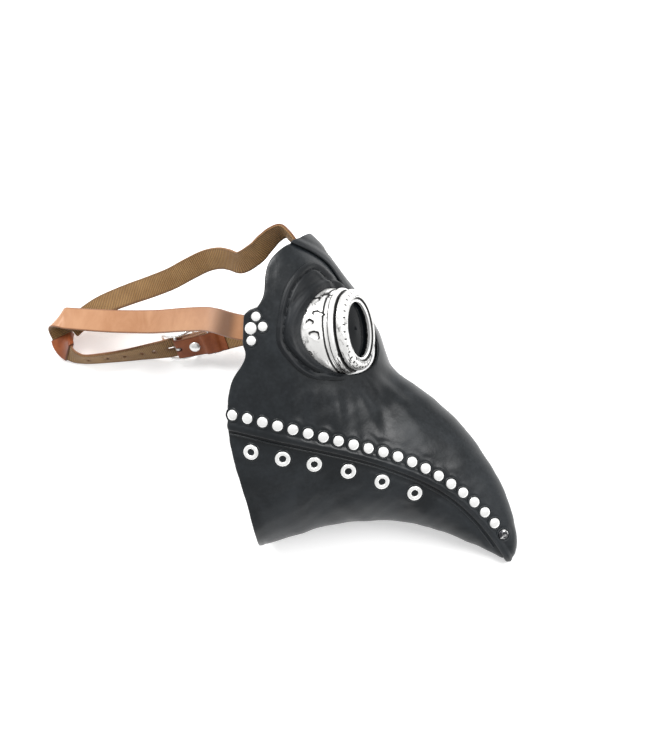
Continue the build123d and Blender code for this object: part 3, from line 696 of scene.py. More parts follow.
def webbing_look():
    """Ribbed olive-brown webbing: ribs across, warp threads along, painted shade in the rib valleys, darker
    borders.
    """
    look = Look("webbing_olive", (0.30, 0.15, 0.035), 0.72, Sheen_Weight=0.1)
    along, across = look.mark("along"), look.mark("across")
    rib = look.math("SINE", look.math("MULTIPLY", along, 2 * math.pi / RIB_PITCH))
    wobble = look.math("MULTIPLY", across, 2 * math.pi / THREAD_PITCH)
    thread = look.math("SINE", look.math("ADD", wobble, look.math("MULTIPLY", rib, 1.2)))
    height = look.math("ADD", look.math("MULTIPLY", rib, 0.65), look.math("MULTIPLY", thread, 0.35))
    fibre = look.noise(1500, 3, 0.6)
    cloud = look.noise(50, 4, 0.6)
    tone = look.mix(look.spread(cloud, 0.3, 0.75), (0.29, 0.150, 0.040), (0.40, 0.225, 0.075))
    # painted shade: the weave's low places, its rib valleys, go dark
    tone = look.mix(look.spread(height, -0.75, 0.35, 0.85, 0.0), tone, (0.075, 0.032, 0.009))
    rim = look.spread(look.mark("edge"), 0.4, 2.4, 1.0, 0.0)
    look.color(look.mix(look.math("MULTIPLY", rim, 0.45), tone, (0.12, 0.052, 0.018)))
    look.roughness(look.spread(fibre, 0.3, 0.7, 0.62, 0.85))
    look.relief((height, 0.7, 0.0006), (fibre, 0.25, 0.0002))
    return look.material


LOOKS = {
    "black_rubber": rubber_look(), "black_leather": skin_look(), "black_plastic": plastic_look(),
    "silver_paint": silver_look(), "smoked_lens": lens_look(), "chrome": chrome_look(), "steel": steel_look(),
    "tan_leather": tan_look(), "brown_leather": brown_look(), "olive_webbing": webbing_look(),
}
SLOT_OF = {part["node"]: part["material_slot"] for part in frame["record"]["subparts"]}
for node_name, node in NODES.items():
    node.data.materials.clear()
    node.data.materials.append(LOOKS[SLOT_OF[node_name]])

# ---- the mask's shells and skins
MOUTH = curve(MOUTH_LINE, 120)
UPPER_LOOP = np.vstack([MOUTH, [(300, -18), (300, 330), (-20, 330)]])
lap_line = [(x + JAW_LAP[0], y + JAW_LAP[1]) for x, y in MOUTH_LINE[:7]]
LAP_LOOP = np.vstack([curve(lap_line + [JAW_FRONT[0]], 110), JAW_FRONT, [(-20, -30)]])
BACK = back_loop()
BROW = curve(BROW_EDGE, 60)
BROW_LOOP = np.vstack([BROW, [(160, 330), (20, 330)]])
PATCH = curve(PATCH_EDGE, 160, True)
SHELL_SPACING = 1.9
SKIN_SPACING = 0.8
SHELL_ROLL = 0.75               # how far a shell's edge bulges, against half its wall
SKIN_ROLL = 0.7
JAW_UNEVEN = 1.7                # the jaw's unevenness against the upper shell's
JAW_SHIFT = (31, 17, 9)         # so that its pattern isn't the upper shell's
SKIN_GAP = 0.1                  # air under a sewn-on skin
PATCH_THICK = 1.3
BROW_THICK = 2.2
PATCH_SIDE = 5.0                # how far from the middle plane an eye patch starts
SETTLE_REACH = 6.0
FIT_REACH = 6.0                 # how far a CAD node is looked for to either side of a grid
FIT_LIMIT = 1.6                 # the furthest that a grid's point is moved


def islands(node):
    """The separate solids of a CAD node, each as its corners in the mask's frame."""
    mesh = NODES[node].data
    corners = np.array([v.co for v in mesh.vertices])
    _, number = np.unique(np.round(corners, 6), axis=0, return_inverse=True)
    number = number.ravel()
    label = np.arange(number.max() + 1)
    edges = number[np.array([e.vertices[:] for e in mesh.edges])]
    while True:
        low = np.minimum(label[edges[:, 0]], label[edges[:, 1]])
        before = label.copy()
        np.minimum.at(label, edges[:, 0], low)
        np.minimum.at(label, edges[:, 1], low)
        label = label[label]
        if (label == before).all():
            break
    owner = label[number]
    return [to_mask(corners[owner == k]) for k in np.unique(owner)]


def stud_seats(node, tree):
    """Top and outward direction of each domed stud of a CAD node."""
    seats = []
    for corners in islands(node):
        corners = np.unique(np.round(corners, 4), axis=0)
        middle = corners.mean(axis=0)
        top = corners[np.argmax(corners @ outward_at(tree, middle))]
        axis = (top - middle) / np.linalg.norm(top - middle)
        seats.append((top, axis))
    return seats


def ring_seats(node, tree):
    """Middle of the flange and outward direction of each eyelet of a CAD node."""
    seats = []
    for corners in islands(node):
        corners = np.unique(np.round(corners, 4), axis=0)
        middle = corners.mean(axis=0)
        values, axes = np.linalg.eigh(np.cov((corners - middle).T))
        spread = [abs(values[(k + 1) % 3] - values[(k + 2) % 3]) for k in range(3)]
        axis = axes[:, int(np.argmin(spread))]
        if axis @ outward_at(tree, middle) < 0:
            axis = -axis
        seats.append((middle + axis * ((corners - middle) @ axis).max(), axis))
    return seats


def nearest(points, places):
    """Distance to the nearest of some places."""
    best = np.full(len(points), 1e3)
    for place in places:
        best = np.minimum(best, np.linalg.norm(points - place, axis=1))
    return best


def undulation(p):
    """The moulded rubber's soft unevenness, in mm."""
    x, y, z = p[:, 0], p[:, 1], p[:, 2]
    slow = 0.5 * np.sin(x / 19 + y / 31 + 0.5) * np.sin(y / 23 - z / 27 + 1.0)
    middle = 0.28 * np.sin(x / 6.2 - y / 8.5 + z / 12 + 0.8 * np.sin(y / 9)) * np.sin(y / 7.1 + x / 17 + 0.9)
    quick = 0.09 * np.sin(x / 3.1 - y / 4.6 + z / 9 + np.sin(x / 8)) * np.sin(y / 3.7 + z / 8 + 0.7)
    return slow + middle + quick


def cheek_folds(p):
    """Soft folds that run down the cheek from under the eyepiece, in mm."""
    x, y = p[:, 0] - 84, p[:, 1] - 190
    r, turn = np.hypot(x, y), np.arctan2(x, -y)
    wave = np.sin(19 * turn + 0.9 * np.sin(r / 16)) + 0.5 * np.sin(33 * turn + r / 19 + 1.2)
    reach = smoothstep(r, 40, 58) * (1 - smoothstep(r, 78, 128))
    spread = smoothstep(turn, -1.1, -0.6) * (1 - smoothstep(turn, 1.0, 1.5))
    return 0.42 * wave * reach * spread


def flat_near(p):
    """How far a place is free of the sewn-on skins: 0 under them, 1 well clear."""
    under = np.maximum(region(p[:, :2], PATCH), region(p[:, :2], BROW_LOOP))
    return smoothstep(-under, 0.5, 4.0)


def back_edge(p):
    """The soft hem along the mask's open back, in mm."""
    back = region(p[:, :2], BACK)
    return 0.35 * bump(back, 2.0, 1.6) - 0.2 * bump(back, 5.0, 1.3)


def upper_lift(p, studs):
    """Relief of the upper shell, in mm: hems, puckers round the studs and folds."""
    mouth = region(p[:, :2], UPPER_LOOP)
    stud = nearest(p, studs)
    hem = 0.95 * bump(mouth, 2.6, 2.1) - 0.6 * bump(mouth, 6.6, 1.5)
    pucker = 0.35 * bump(stud, 7.2, 1.6) - 0.35 * bump(stud, 4.2, 1.4)
    free = smoothstep(mouth, 3, 9) * smoothstep(stud, 7, 13)
    return hem + back_edge(p) + pucker + (undulation(p) + cheek_folds(p)) * free * flat_near(p)


def jaw_lift(p, eyelets):
    """Relief of the lower jaw, in mm: its lip, puckers round the eyelets and unevenness."""
    mouth = above(p[:, :2], MOUTH)
    ring = nearest(p, eyelets)
    lip = -0.35 * bump(mouth, -6.5, 1.8)
    pucker = 0.3 * bump(ring, 8.6, 1.8) - 0.2 * bump(ring, 6.0, 1.4)
    free = smoothstep(-mouth, 2, 9) * smoothstep(ring, 8, 15)
    return lip + back_edge(p) + pucker + JAW_UNEVEN * undulation(p + JAW_SHIFT) * free


def flat(points):
    """A grid of points as a plain list of them."""
    return points.reshape(-1, 3)


def grid_tree(points):
    """A shell grid's faces, for finding the way outwards."""
    return BVHTree.FromPolygons([Vector(v) for v in flat(points)], grid_faces(*points.shape[:2], True))


def outward_at(tree, place, centre=(90.0, 150.0, 0.0)):
    """The outward direction of the nearest face of a shell's tree."""
    _, normal, _, _ = tree.find_nearest(Vector(place))
    normal = np.array(normal)
    away = np.asarray(place) - centre
    flat_way = np.array((0.3 * away[0], 0.3 * away[1], away[2]))
    return normal if normal @ flat_way > 0 else -normal


def side_block(points, normals, keep):
    """The smallest rectangle of a grid that holds the marked points."""
    rows, columns = np.where(keep.any(axis=1))[0], np.where(keep.any(axis=0))[0]
    block = (slice(max(rows[0] - 1, 0), rows[-1] + 2), slice(max(columns[0] - 1, 0), columns[-1] + 2))
    return points[block], normals[block]


raw_points, raw_normals = surface(0, SHELL_SPACING)
shell_points = fitted(raw_points, raw_normals, "upper_shell")
shell_normals = grid_normals(shell_points, True)
shell_tree = grid_tree(shell_points)
beak_seats = {side: stud_seats("beak_studs_" + side, shell_tree) for side, _ in SIDES}
temple_seats = {side: stud_seats("temple_studs_" + side, shell_tree) for side, _ in SIDES}
raw_points, raw_normals = surface(JAW_INSET, SHELL_SPACING)
jaw_points = fitted(raw_points, raw_normals, "lower_jaw")
jaw_normals = grid_normals(jaw_points, True)
jaw_tree = grid_tree(jaw_points)
eyelet_seats = {side: ring_seats("jaw_eyelets_" + side, jaw_tree) for side, _ in SIDES}
all_studs = [top for seats in (*beak_seats.values(), *temple_seats.values()) for top, _ in seats]
all_eyelets = [top for seats in eyelet_seats.values() for top, _ in seats]



def make_shell(name, node, points, normals, lift, cuts):
    """A rubber shell: its relief, its wall and its rolled edges."""
    shell = panel(name, points, normals, lift, cuts, -WALL, 0.0, True, SHELL_ROLL)
    make(shell, to_row, LOOKS["black_rubber"], "mask", [node])


p = flat(shell_points)
make_shell("shell_upper", "upper_shell", shell_points, shell_normals, upper_lift(p, all_studs),
           [region(p[:, :2], UPPER_LOOP), region(p[:, :2], BACK), eye_distance(p)])
p = flat(jaw_points)
make_shell("shell_jaw", "lower_jaw", jaw_points, jaw_normals, jaw_lift(p, all_eyelets),
           [region(p[:, :2], LAP_LOOP), region(p[:, :2], BACK)])


def settled(points, normals):
    """Points moved along their normals on to the upper shell."""
    moved = points.copy()
    for i in range(points.shape[0]):
        for j in range(points.shape[1]):
            start = Vector(points[i, j] + normals[i, j] * SETTLE_REACH)
            hit, _, _, _ = shell_tree.ray_cast(start, Vector(-normals[i, j]), 2 * SETTLE_REACH)
            if hit is not None:
                moved[i, j] = hit
    return moved


def patch_lift(p):
    """Relief of an eye patch, in mm: outer ridge, stitched channel and the collar by the barrel."""
    d, e = region(p[:, :2], PATCH), eye_distance(p)
    ridge = 0.9 * bump(d, 2.1, 1.5) - 0.95 * bump(d, 5.4, 1.15) + 0.55 * bump(d, 8.2, 1.5)
    collar = 1.5 * bump(e, 3.9, 2.0) - 0.7 * bump(e, 8.0, 1.3)
    return ridge + collar + 0.35 * undulation(p * 1.3) * smoothstep(d, 3, 9)


STITCH_INSET = 5.4
STITCH_PITCH = 7.4
STITCH_LONG = 4.6
SLOT_HALF = 0.72                # half the width of the slot that a stitch lies in
SKIN_MARGIN = 3.0               # what the skins' grids take in beyond their outlines
BROW_BACK = 20.0
OUTSIDE = 150.0                 # well clear of the mask's side


def side_place(tree, x, y, sign):
    """The place on a shell's side at a side-view point, and its outward direction."""
    hit, normal, _, _ = tree.ray_cast(Vector((x, y, OUTSIDE * sign)), Vector((0, 0, -sign)))
    if hit is None:
        return None, None
    normal = np.array(normal)
    return np.array(hit), normal if normal[2] * sign > 0 else -normal


def line_left(line):
    """Unit directions to the left of a side-view line."""
    step = np.gradient(line, axis=0)
    step /= np.linalg.norm(step, axis=1, keepdims=True)
    return np.stack([-step[:, 1], step[:, 0]], axis=1)


def stitch_line():
    """The side-view line of a patch's stitches, inside its outline."""
    edge = curve(PATCH_EDGE, 400, True)
    inward = line_left(edge)
    if region(edge[:1] + inward[:1] * 4, PATCH)[0] < 0:
        inward = -inward
    return edge + inward * STITCH_INSET


def stitch_dashes():
    """The stitches of a patch in the side view, each a short line of points."""
    line = stitch_line()
    run = lengths(line)
    dashes = []
    for start in np.arange(2.0, run[-1] - STITCH_LONG, STITCH_PITCH):
        where = np.linspace(start, start + STITCH_LONG, 7)
        dash = np.stack([np.interp(where, run, line[:, k]) for k in (0, 1)], axis=1)
        if region(dash, PATCH).min() < STITCH_INSET - 1.5 or region(dash, BROW_LOOP).max() > -1.5:
            continue
        middle, _ = side_place(shell_tree, *dash[len(dash) // 2], 1)
        if eye_distance(middle[None])[0] > 4.5:
            dashes.append(dash)
    return dashes


DASHES = stitch_dashes()
fine_points, fine_normals = surface(0, SKIN_SPACING)
flat_xy = flat(fine_points)[:, :2]
near_patch = (region(flat_xy, PATCH) > -SKIN_MARGIN).reshape(fine_points.shape[:2])
near_brow = (region(flat_xy, BROW_LOOP) > -SKIN_MARGIN).reshape(fine_points.shape[:2]) \
    & (fine_points[..., 0] > BROW_BACK)


def slot_distance(points):
    """Distance outside the nearest stitch slot."""
    best = np.full(len(points), FAR)
    for dash in DASHES:
        best = np.minimum(best, line_distance(points, dash) - SLOT_HALF)
    return best


def brow_lift(p):
    """Relief of the brow band, in mm: a soft hem and its channel."""
    d = region(p[:, :2], BROW_LOOP)
    hem = 0.5 * bump(d, 2.2, 1.8) - 0.4 * bump(d, 6.0, 1.6)
    return hem + 0.3 * undulation(p * 1.2) * smoothstep(d, 4, 10)


def make_skin(name, node, keep, outward, lift, cuts, thick):
    """A thin leather skin sewn on to the upper shell."""
    points, normals = side_block(fine_points, fine_normals, keep)
    points = settled(points, normals)
    normals = grid_normals(points, False)
    if (normals @ outward).mean() < 0:
        normals = -normals
    p = flat(points)
    skin = panel(name, points, normals, lift(p), cuts(p), SKIN_GAP, SKIN_GAP + thick, False, SKIN_ROLL)
    make(skin, to_row, LOOKS["black_leather"], "mask", [node])


for side, sign in SIDES:
    keep = near_patch & (fine_points[..., 2] * sign > PATCH_SIDE)
    make_skin("skin_patch_" + side, "eye_patch_" + side, keep, np.array((0, 0, sign)), patch_lift,
              lambda p: [region(p[:, :2], PATCH), eye_distance(p), p[:, 2] * sign - PATCH_SIDE,
                         slot_distance(p[:, :2])], PATCH_THICK)
make_skin("skin_brow", "brow_band", near_brow, np.array((1, 1, 0)), brow_lift,
          lambda p: [region(p[:, :2], BROW_LOOP), region(p[:, :2], BACK), eye_distance(p)], BROW_THICK)


# ---- turned pieces
def rounded(profile):
    """A closed profile with its corners cut round."""
    points = np.asarray(profile, float)
    for _ in range(2):
        after = np.roll(points, -1, axis=0)
        points = np.stack([0.82 * points + 0.18 * after, 0.18 * points + 0.82 * after], axis=1).reshape(-1, 2)
    return points


def refined(profile, spacing):
    """A closed profile with no side longer than a spacing."""
    points = []
    for a, b in zip(profile, np.roll(profile, -1, axis=0)):
        count = max(1, math.ceil(np.linalg.norm(b - a) / spacing))
        points.extend(a + (b - a) * k / count for k in range(count))
    return np.array(points)


def axis_frame(axis):
    """Two directions across an axis, the first as near to up the face as it goes."""
    axis = np.asarray(axis, float)
    first = np.array((0.0, 1.0, 0.0)) - axis[1] * axis
    if np.linalg.norm(first) < 0.1:
        first = np.array((1.0, 0.0, 0.0)) - axis[0] * axis
    first /= np.linalg.norm(first)
    return first, np.cross(axis, first)


def lathe(name, profile, origin, axis, count, relief=None, flip=1):
    """A closed turned piece from (radius, height); relief gives (lift, dark) from angle and height."""
    first, second = axis_frame(axis)
    second = second * flip
    angle = np.linspace(0, 2 * math.pi, count, endpoint=False)
    grid_r = np.repeat(profile[:, :1], count, axis=1)
    grid_t = np.repeat(profile[:, 1:], count, axis=1)
    grid_a = np.repeat(angle[None], len(profile), axis=0)
    dark = np.zeros_like(grid_r)
    if relief:
        lift, dark = relief(grid_r, grid_t, grid_a)
        grid_r = grid_r + lift
    spoke = np.cos(grid_a)[..., None] * first + np.sin(grid_a)[..., None] * second
    verts = origin + axis * grid_t[..., None] + spoke * grid_r[..., None]
    faces = ring_faces(len(profile), count, flip=flip < 0)
    return {"name": name, "verts": verts.reshape(-1, 3), "faces": faces, "marks": {"dark": dark.ravel()}}


def dome(radius, height, skirt, rings=7):
    """The upper profile of a domed stud, from its centre out and down its skirt."""
    turn = np.linspace(math.pi / 2, 0, rings)
    cap = [(radius * math.cos(a) ** 0.9, height * math.sin(a)) for a in turn]
    return cap + [(radius, -0.12), (radius * 0.97, -skirt)]


def cap_mesh(name, profile, origin, axis, count=28):
    """An open cap turned from the axis out, closed underneath."""
    first, second = axis_frame(axis)
    verts = [origin + axis * profile[0][1]]
    for r, t in profile[1:]:
        for j in range(count):
            a = 2 * math.pi * j / count
            verts.append(origin + axis * t + (first * math.cos(a) + second * math.sin(a)) * r)
    faces = [(0, 1 + j, 1 + (j + 1) % count) for j in range(count)]
    for i in range(len(profile) - 2):
        for j in range(count):
            a, b = 1 + i * count + j, 1 + i * count + (j + 1) % count
            faces.append((a, a + count, b + count, b))
    last = 1 + (len(profile) - 2) * count
    faces.append(tuple(last + j for j in reversed(range(count))))
    return {"name": name, "verts": np.array(verts), "faces": faces}


TIP_STUD_X = 228                # the stud in front of this gets painted dark reflection patches
PIN_RADIUS, PIN_TIP = 1.4, 0.2
# Domed fasteners: cap radius, cap height.
BEAK_STUD, SMALL_STUD, RIVET = (4.5, 1.8), (4.0, 1.7), (5.0, 2.0)


def pin_profile(top, length):
    """A straight shank under a cap, with a cut end."""
    return [(0, -top), (PIN_RADIUS, -top), (PIN_RADIUS, -length), (1.2, -length - PIN_TIP)]


def set_studs(name, node, seats, size, shank):
    """Domed caps on seats, each with its shank through the rubber."""
    radius, height = size
    parts = []
    for top, axis in seats:
        base = top - axis * height
        cap = cap_mesh(name, dome(radius, height, 0.5), base, axis)
        # painted reflection: caps in front of TIP_STUD_X get the dark mark, which paints dark reflection
        # patches
        cap["marks"] = {"dark": np.full(len(cap["verts"]), float(top[0] > TIP_STUD_X))}
        pin = cap_mesh(name, pin_profile(0.4, shank), base, axis, 12)
        pin["marks"] = {"dark": np.zeros(len(pin["verts"]))}
        parts += [cap, pin]
    make(parts, to_row, LOOKS["chrome"], "mask", [node])


for side, _ in SIDES:
    set_studs("studs_beak_" + side, "beak_studs_" + side, beak_seats[side], BEAK_STUD, 6.0)
    set_studs("studs_temple_" + side, "temple_studs_" + side, temple_seats[side], SMALL_STUD, 2.2)
    seats = stud_seats("temple_strap_rivet_" + side, shell_tree)
    set_studs("rivet_temple_" + side, "temple_strap_rivet_" + side, seats, RIVET, 7.2)
for name, node, size, shank in (("studs_forehead", "forehead_studs", SMALL_STUD, 5.2),
                                ("rivet_forehead", "forehead_strap_rivet", RIVET, 9.2)):
    set_studs(name, node, stud_seats(node, shell_tree), size, shank)

EYELET_HEIGHT = 1.5
EYELET_PROFILE = [(2.75, -3.9), (3.5, -3.9), (3.5, 0.1), (5.9, 0.1), (6.4, 0.15), (6.25, 0.75), (5.6, 1.25),
                  (4.6, 1.5), (3.6, 1.3), (2.95, 0.7), (2.75, 0.0)]
for side, _ in SIDES:
    profile = refined(rounded(EYELET_PROFILE), 1.2)
    rings = [lathe("eyelets_jaw_" + side, profile, top - axis * EYELET_HEIGHT, axis, 36)
             for top, axis in eyelet_seats[side]]
    make(rings, to_row, LOOKS["chrome"], "mask", ["jaw_eyelets_" + side])

BARREL_R = 36.3
# Hollows hammered into a barrel: angle in degrees from up the face, height, half sizes, slant, depth.
DENTS = [
    (35, 23.2, 5.0, 2.8, 25, 1.0), (46, 14.6, 4.8, 4.2, 10, 0.8), (54, 15.0, 1.7, 1.3, 0, 0.9),
    (64, 7.4, 2.7, 1.8, 60, 0.8), (67, 19.0, 5.8, 2.6, -12, 0.9), (79, 12.0, 4.4, 3.0, 35, 1.0),
    (95, 16.6, 5.2, 3.2, -30, 1.1), (43, 6.2, 3.0, 1.9, 20, 0.4), (118, 9.0, 2.6, 1.8, 10, 0.3),
    (150, 15.0, 4.0, 2.4, 40, 0.8), (176, 8.0, 3.0, 2.0, -20, 0.7), (205, 17.5, 4.2, 2.5, 15, 0.8),
    (232, 10.0, 3.2, 2.0, 50, 0.7), (262, 16.0, 4.4, 2.2, -25, 0.8), (290, 8.5, 2.8, 2.0, 5, 0.7),
    (322, 18.0, 4.0, 2.6, 30, 0.8), (348, 9.5, 3.2, 2.1, -40, 0.7), (10, 12.0, 3.0, 2.0, 15, 0.5),
]


def streaks(t, a, strength):
    """Dark paint left by brushing round the eyepiece, and a darkening towards its lower side."""
    brush = np.sin(3.1 * t + 2.0 * np.sin(3 * a)) * np.sin(1.7 * t - 1.3 * np.sin(5 * a + 1)) \
        + 0.7 * np.sin(5.3 * t + 7 * a) * np.sin(23 * a + 2 * np.sin(t))
    under = smoothstep(np.cos(a - math.radians(188)), 0.0, 0.85)
    return np.clip(strength * (smoothstep(brush, 0.35, 1.3) * (0.35 + 0.65 * under) + 0.5 * under ** 2), 0, 1)


def barrel_relief(r, t, a):
    """Hammer dents with dark outlines, darker on one side as painted shade, and a band of painted shadow
    towards the base where it meets the patch.
    """
    lift, dark = np.zeros_like(r), np.zeros_like(r)
    outer = r > 33              # not its bore
    for angle, height, long, short, slant, depth in DENTS:
        s = ((a - math.radians(angle) + math.pi) % (2 * math.pi) - math.pi) * BARREL_R
        u = t - height
        c, n = math.cos(math.radians(slant)), math.sin(math.radians(slant))
        round_it = np.arctan2(u, s)
        wobble = 1 + 0.13 * np.sin(3 * round_it + angle) + 0.07 * np.sin(5 * round_it + height)
        q = np.hypot((s * c + u * n) / short, (u * c - s * n) / long) / wobble
        lift -= depth * (1 - smoothstep(q, 0.35, 1.0))
        lift += 0.3 * bump(q, 1.15, 0.2)
        # painted shade: each dent's outline is darker on one side, as if lit from one direction
        side = 0.62 + 0.38 * np.sin(round_it + math.radians(angle) - 2.6)
        dark = np.maximum(dark, 1.15 * side * bump(q, 0.82, 0.24))
    soft = 0.18 * np.sin(5 * a + t / 4) * np.sin(t / 3.1 + 2 * a) + 0.08 * np.sin(13 * a - t / 2.2)
    # painted shadow: a dark band at the barrel's base, where it stands in the patch's collar
    dark = np.maximum(dark, 0.85 * (1 - smoothstep(t, 0.8, 3.0)))
    dark = np.maximum(dark, 0.8 * bump(t, 23.4, 0.9))
    dark = np.maximum(dark, streaks(t, a, 1.0) * 0.5)
    return np.where(outer, lift + soft, 0), np.where(outer, np.clip(dark, 0, 1), 0.9)


def ring_relief(r, t, a):
    """Wobble of the middle ring, dark at both its edges and in the streaks, which darken towards its lower
    side.
    """
    soft = 0.14 * np.sin(9 * a + 1) + 0.1 * np.sin(21 * a + t)
    dark = np.maximum(0.9 * (1 - smoothstep(t, 27.2, 28.4)), 0.9 * smoothstep(t, 31.2, 32.4))
    dark = np.maximum(dark, streaks(t, a, 1.1) * 0.85)
    return np.where(r > 32, soft, 0), np.where(r > 31.5, dark, 0.95)


def rim_relief(r, t, a):
    """The front rim: short notches like stitches, darker at its back edge and round its inner front edge."""
    notch = smoothstep(np.cos(34 * a), 0.55, 0.95)
    band = bump(t, 40.6, 0.8) * (r > 28)
    soft = 0.12 * np.sin(7 * a + 2) + 0.08 * np.sin(17 * a - t)
    dark = np.maximum(0.9 * (1 - smoothstep(t, 33.4, 34.8)), 0.85 * notch * band)
    dark = np.maximum(dark, 0.6 * bump(r, 27.6, 0.5) * (t > 40))
    dark = np.maximum(dark, streaks(t, a, 1.0) * 0.7)
    return np.where(r > 27, soft - 0.45 * notch * band, 0), np.where(r > 26.4, np.clip(dark, 0, 1), 0.95)


TURNED = {
    "barrel": ("eyepiece_barrel", barrel_relief,
               [(30.5, 0), (36.0, 0), (BARREL_R, 4), (BARREL_R, 20), (34.9, 23), (33.6, 25), (33.6, 26.6),
                (30.5, 26.6)]),
    "middle_ring": ("eyepiece_middle_ring", ring_relief,
                    [(30.0, 26.8), (34.2, 26.8), (35.4, 28.4), (35.0, 30.6), (32.4, 32.6), (30.0, 32.6)]),
    "front_rim": ("eyepiece_front_rim", rim_relief,
                  [(25.6, 32.8), (31.8, 32.8), (32.6, 34.4), (33.5, 37), (32.6, 40), (30, 41.8), (27, 42.2),
                   (25.6, 41.2)]),
}
for side, sign in SIDES:
    flip = np.array((1, 1, sign))
    for short_name, (node, relief, profile) in TURNED.items():
        shape = refined(rounded(profile), 0.7)
        piece = lathe(f"eye_{short_name}_{side}", shape, EYE_BASE * flip, EYE_AXIS * flip, 300, relief, sign)
        make(piece, to_row, LOOKS["silver_paint"], "mask", [f"{node}_{side}"])


# ---- straps
STRAP_WIDTH = 20.0
TOP_WIDTH = 19.0
LONG_LAYERS = {"facing": (-0.05, 1.3), "webbing": (-1.4, -0.15)}
SHORT_LAYERS = {"facing": (0.05, 1.15), "webbing": (-1.15, -0.05)}
NEAR_STATIONS = [
    (36.5, 172.6, 145.4, 0, 0.96, 0.27, 0),
    (28.7, 173.7, 144.5, 0, 0.96, 0.27, 0),
    (21.0, 175.0, 143.2, 0, 0.96, 0.27, 0),
    (12.5, 177.6, 139.8, 0.05, 0.96, 0.26, 0),
    (4, 181.6, 133.4, 0.08, 0.96, 0.25, 0),
    (-6, 187.0, 124.5, 0.1, 0.96, 0.2, 0),
    (-19, 193.0, 111, 0.1, 0.96, 0.2, 0),
    (-43, 199.0, 91, 0.05, 0.96, 0.18, 0),
    (-75, 204.8, 68, 0, 0.97, 0.12, 0),
    (-114, 212.3, 46, 0, 0.99, 0.05, 0),
    (-141, 217.5, 34, 0, 1, 0, 0),
    (-160, 221.0, 27, 0.1, 0.99, 0, 0),
    (-170.5, 222.8, 24, 0.168, 0.98, 0, 0),
]
FOLD_TOP = (-170.5, 222.8, 24)
FOLD_LINE = (-0.582, -0.813, 0)
FOLD_OUT = (-0.813, 0.582, 0)
FOLD_RADIUS = 8.5
FOLD_ADVANCE = 13.0
TURN_STATIONS = [
    (-178.1, 212.2, 7.4, 0.87, 0.48, 0.05, 0),
    (-175.8, 205.0, 9.1, 0.80, 0.45, 0.38, 0),
    (-171.5, 197.6, 10.2, 0.55, 0.45, 0.70, 0),
    (-165.5, 191.8, 10.4, 0.25, 0.32, 0.92, 0),
    (-157.8, 188.8, 10.4, 0.05, 0.15, 0.99, 0),
]
FAR_LINE = [
    (-149.8, 187.6, 10.4, 88), (-132, 189.1, 10.4, 86), (-116, 191.0, 10.5, 82), (-99.6, 193.1, 11.5, 75),
    (-88, 194.3, 13.0, 68), (-78, 195.3, 14.4, 62), (-71, 196.0, 15.4, 58), (-64.6, 196.6, 16.0, 56),
    (-58, 197.6, 16.5, 54.5), (-49, 199.3, 17.2, 52.5), (-42, 200.6, 17.9, 49.5), (-38.5, 201.2, 18.5, 47.5),
    (-33, 202.0, 19.5, 44), (-27.5, 202.7, 20.8, 40.5), (-24, 203.1, 21.7, 38), (-19, 203.6, 23.4, 34),
    (-14, 203.9, 26.0, 30), (-6, 204.3, 30.0, 24), (-0.5, 204.7, 32.4, 18), (4.7, 205.1, 32.5, 16),
    (12, 205.9, 29.5, 15.6), (19.4, 206.8, 26.4, 15.6),
]
BAR_INDEX = 7
RIVET_INDEX = 9
KEEPER_INDEX = 12
LONG_LIFTS = [0, 0, 0, 0.2, 0.4, 0.75, 1.75, 3.0, *[2.87] * 8, 3.1]
SHORT_LIFTS = [-1] * 17 + [-0.6, -0.2, 0, 0, 0]
CHAPE_INNER_LIFTS = [-2.8, -2.8, -2.8, -3.1, -4.75, -4.75, -4.75, -3.1, -2.8]
TOP_STATIONS = [
    (74.4, 252.3, 96.7, -0.14, 0.27, -0.95, 0),
    (68.2, 257.9, 99.2, -0.14, 0.27, -0.95, 0),
    (61.2, 259.2, 100.6, -0.12, 0.2, -0.97, 0),
    (54.5, 262.6, 102.5, -0.12, 0.1, -0.97, 0),
    (48.3, 269.6, 103, -0.1, 0, -0.98, 0),
    (41.7, 275.0, 101, 0, -0.15, -0.98, 0),
    (33.4, 273.2, 97, 0, -0.35, -0.93, 0),
    (25.1, 267.6, 92, 0, -0.55, -0.83, 0),
    (15.7, 260.3, 86, 0, -0.66, -0.75, 0),
    (1.3, 255.6, 77, 0, -0.72, -0.69, 0),
    (-10.2, 260.6, 71, 0, -0.75, -0.66, 0),
    (-20, 263.8, 66.5, 0, -0.76, -0.64, 0),
    (-33.5, 263.4, 61, 0, -0.78, -0.6, 0),
    (-49.5, 257.8, 56, 0, -0.82, -0.55, 0),
    (-66.5, 250.9, 50.5, 0, -0.87, -0.45, 0),
    (-85.9, 245.9, 44, 0, -0.93, -0.3, 0),
    (-105.6, 242, 37, 0, -0.97, -0.2, 0),
    (-126.9, 237.5, 28.5, 0.1, -0.99, -0.05, 0),
    (-141.1, 233.3, 22.5, 0.25, -0.96, 0, 0),
    (-154, 226.5, 17.5, 0.4, -0.9, 0, 0),
    (-161.5, 220.6, 15.8, 0.5, -0.86, 0, 0),
    (-167.2, 215.3, 14.8, 0.55, -0.83, 0.05, 0),
]
FINE_STEPS = 8                  # frames from one station to the next
FOLD_STEPS = 8
HOLE_REACH = 8.0                # how far along its axis a hole cuts


def catmull_rom(before, start, end, after, t):
    """A value between start and end on a smooth curve."""
    square = 2 * before - 5 * start + 4 * end - after
    cube = 3 * start - before - 3 * end + after
    return 0.5 * (2 * start + (end - before) * t + square * t**2 + cube * t**3)


def smoothed(stations, steps):
    """Stations filled in between on a smooth curve."""
    stations = np.asarray(stations, float)
    last = len(stations) - 1
    filled = []
    for i in range(last):
        near = [stations[min(max(k, 0), last)] for k in range(i - 1, i + 3)]
        filled.extend(catmull_rom(*near, step / steps) for step in range(steps))
    filled.append(stations[-1])
    return np.array(filled)


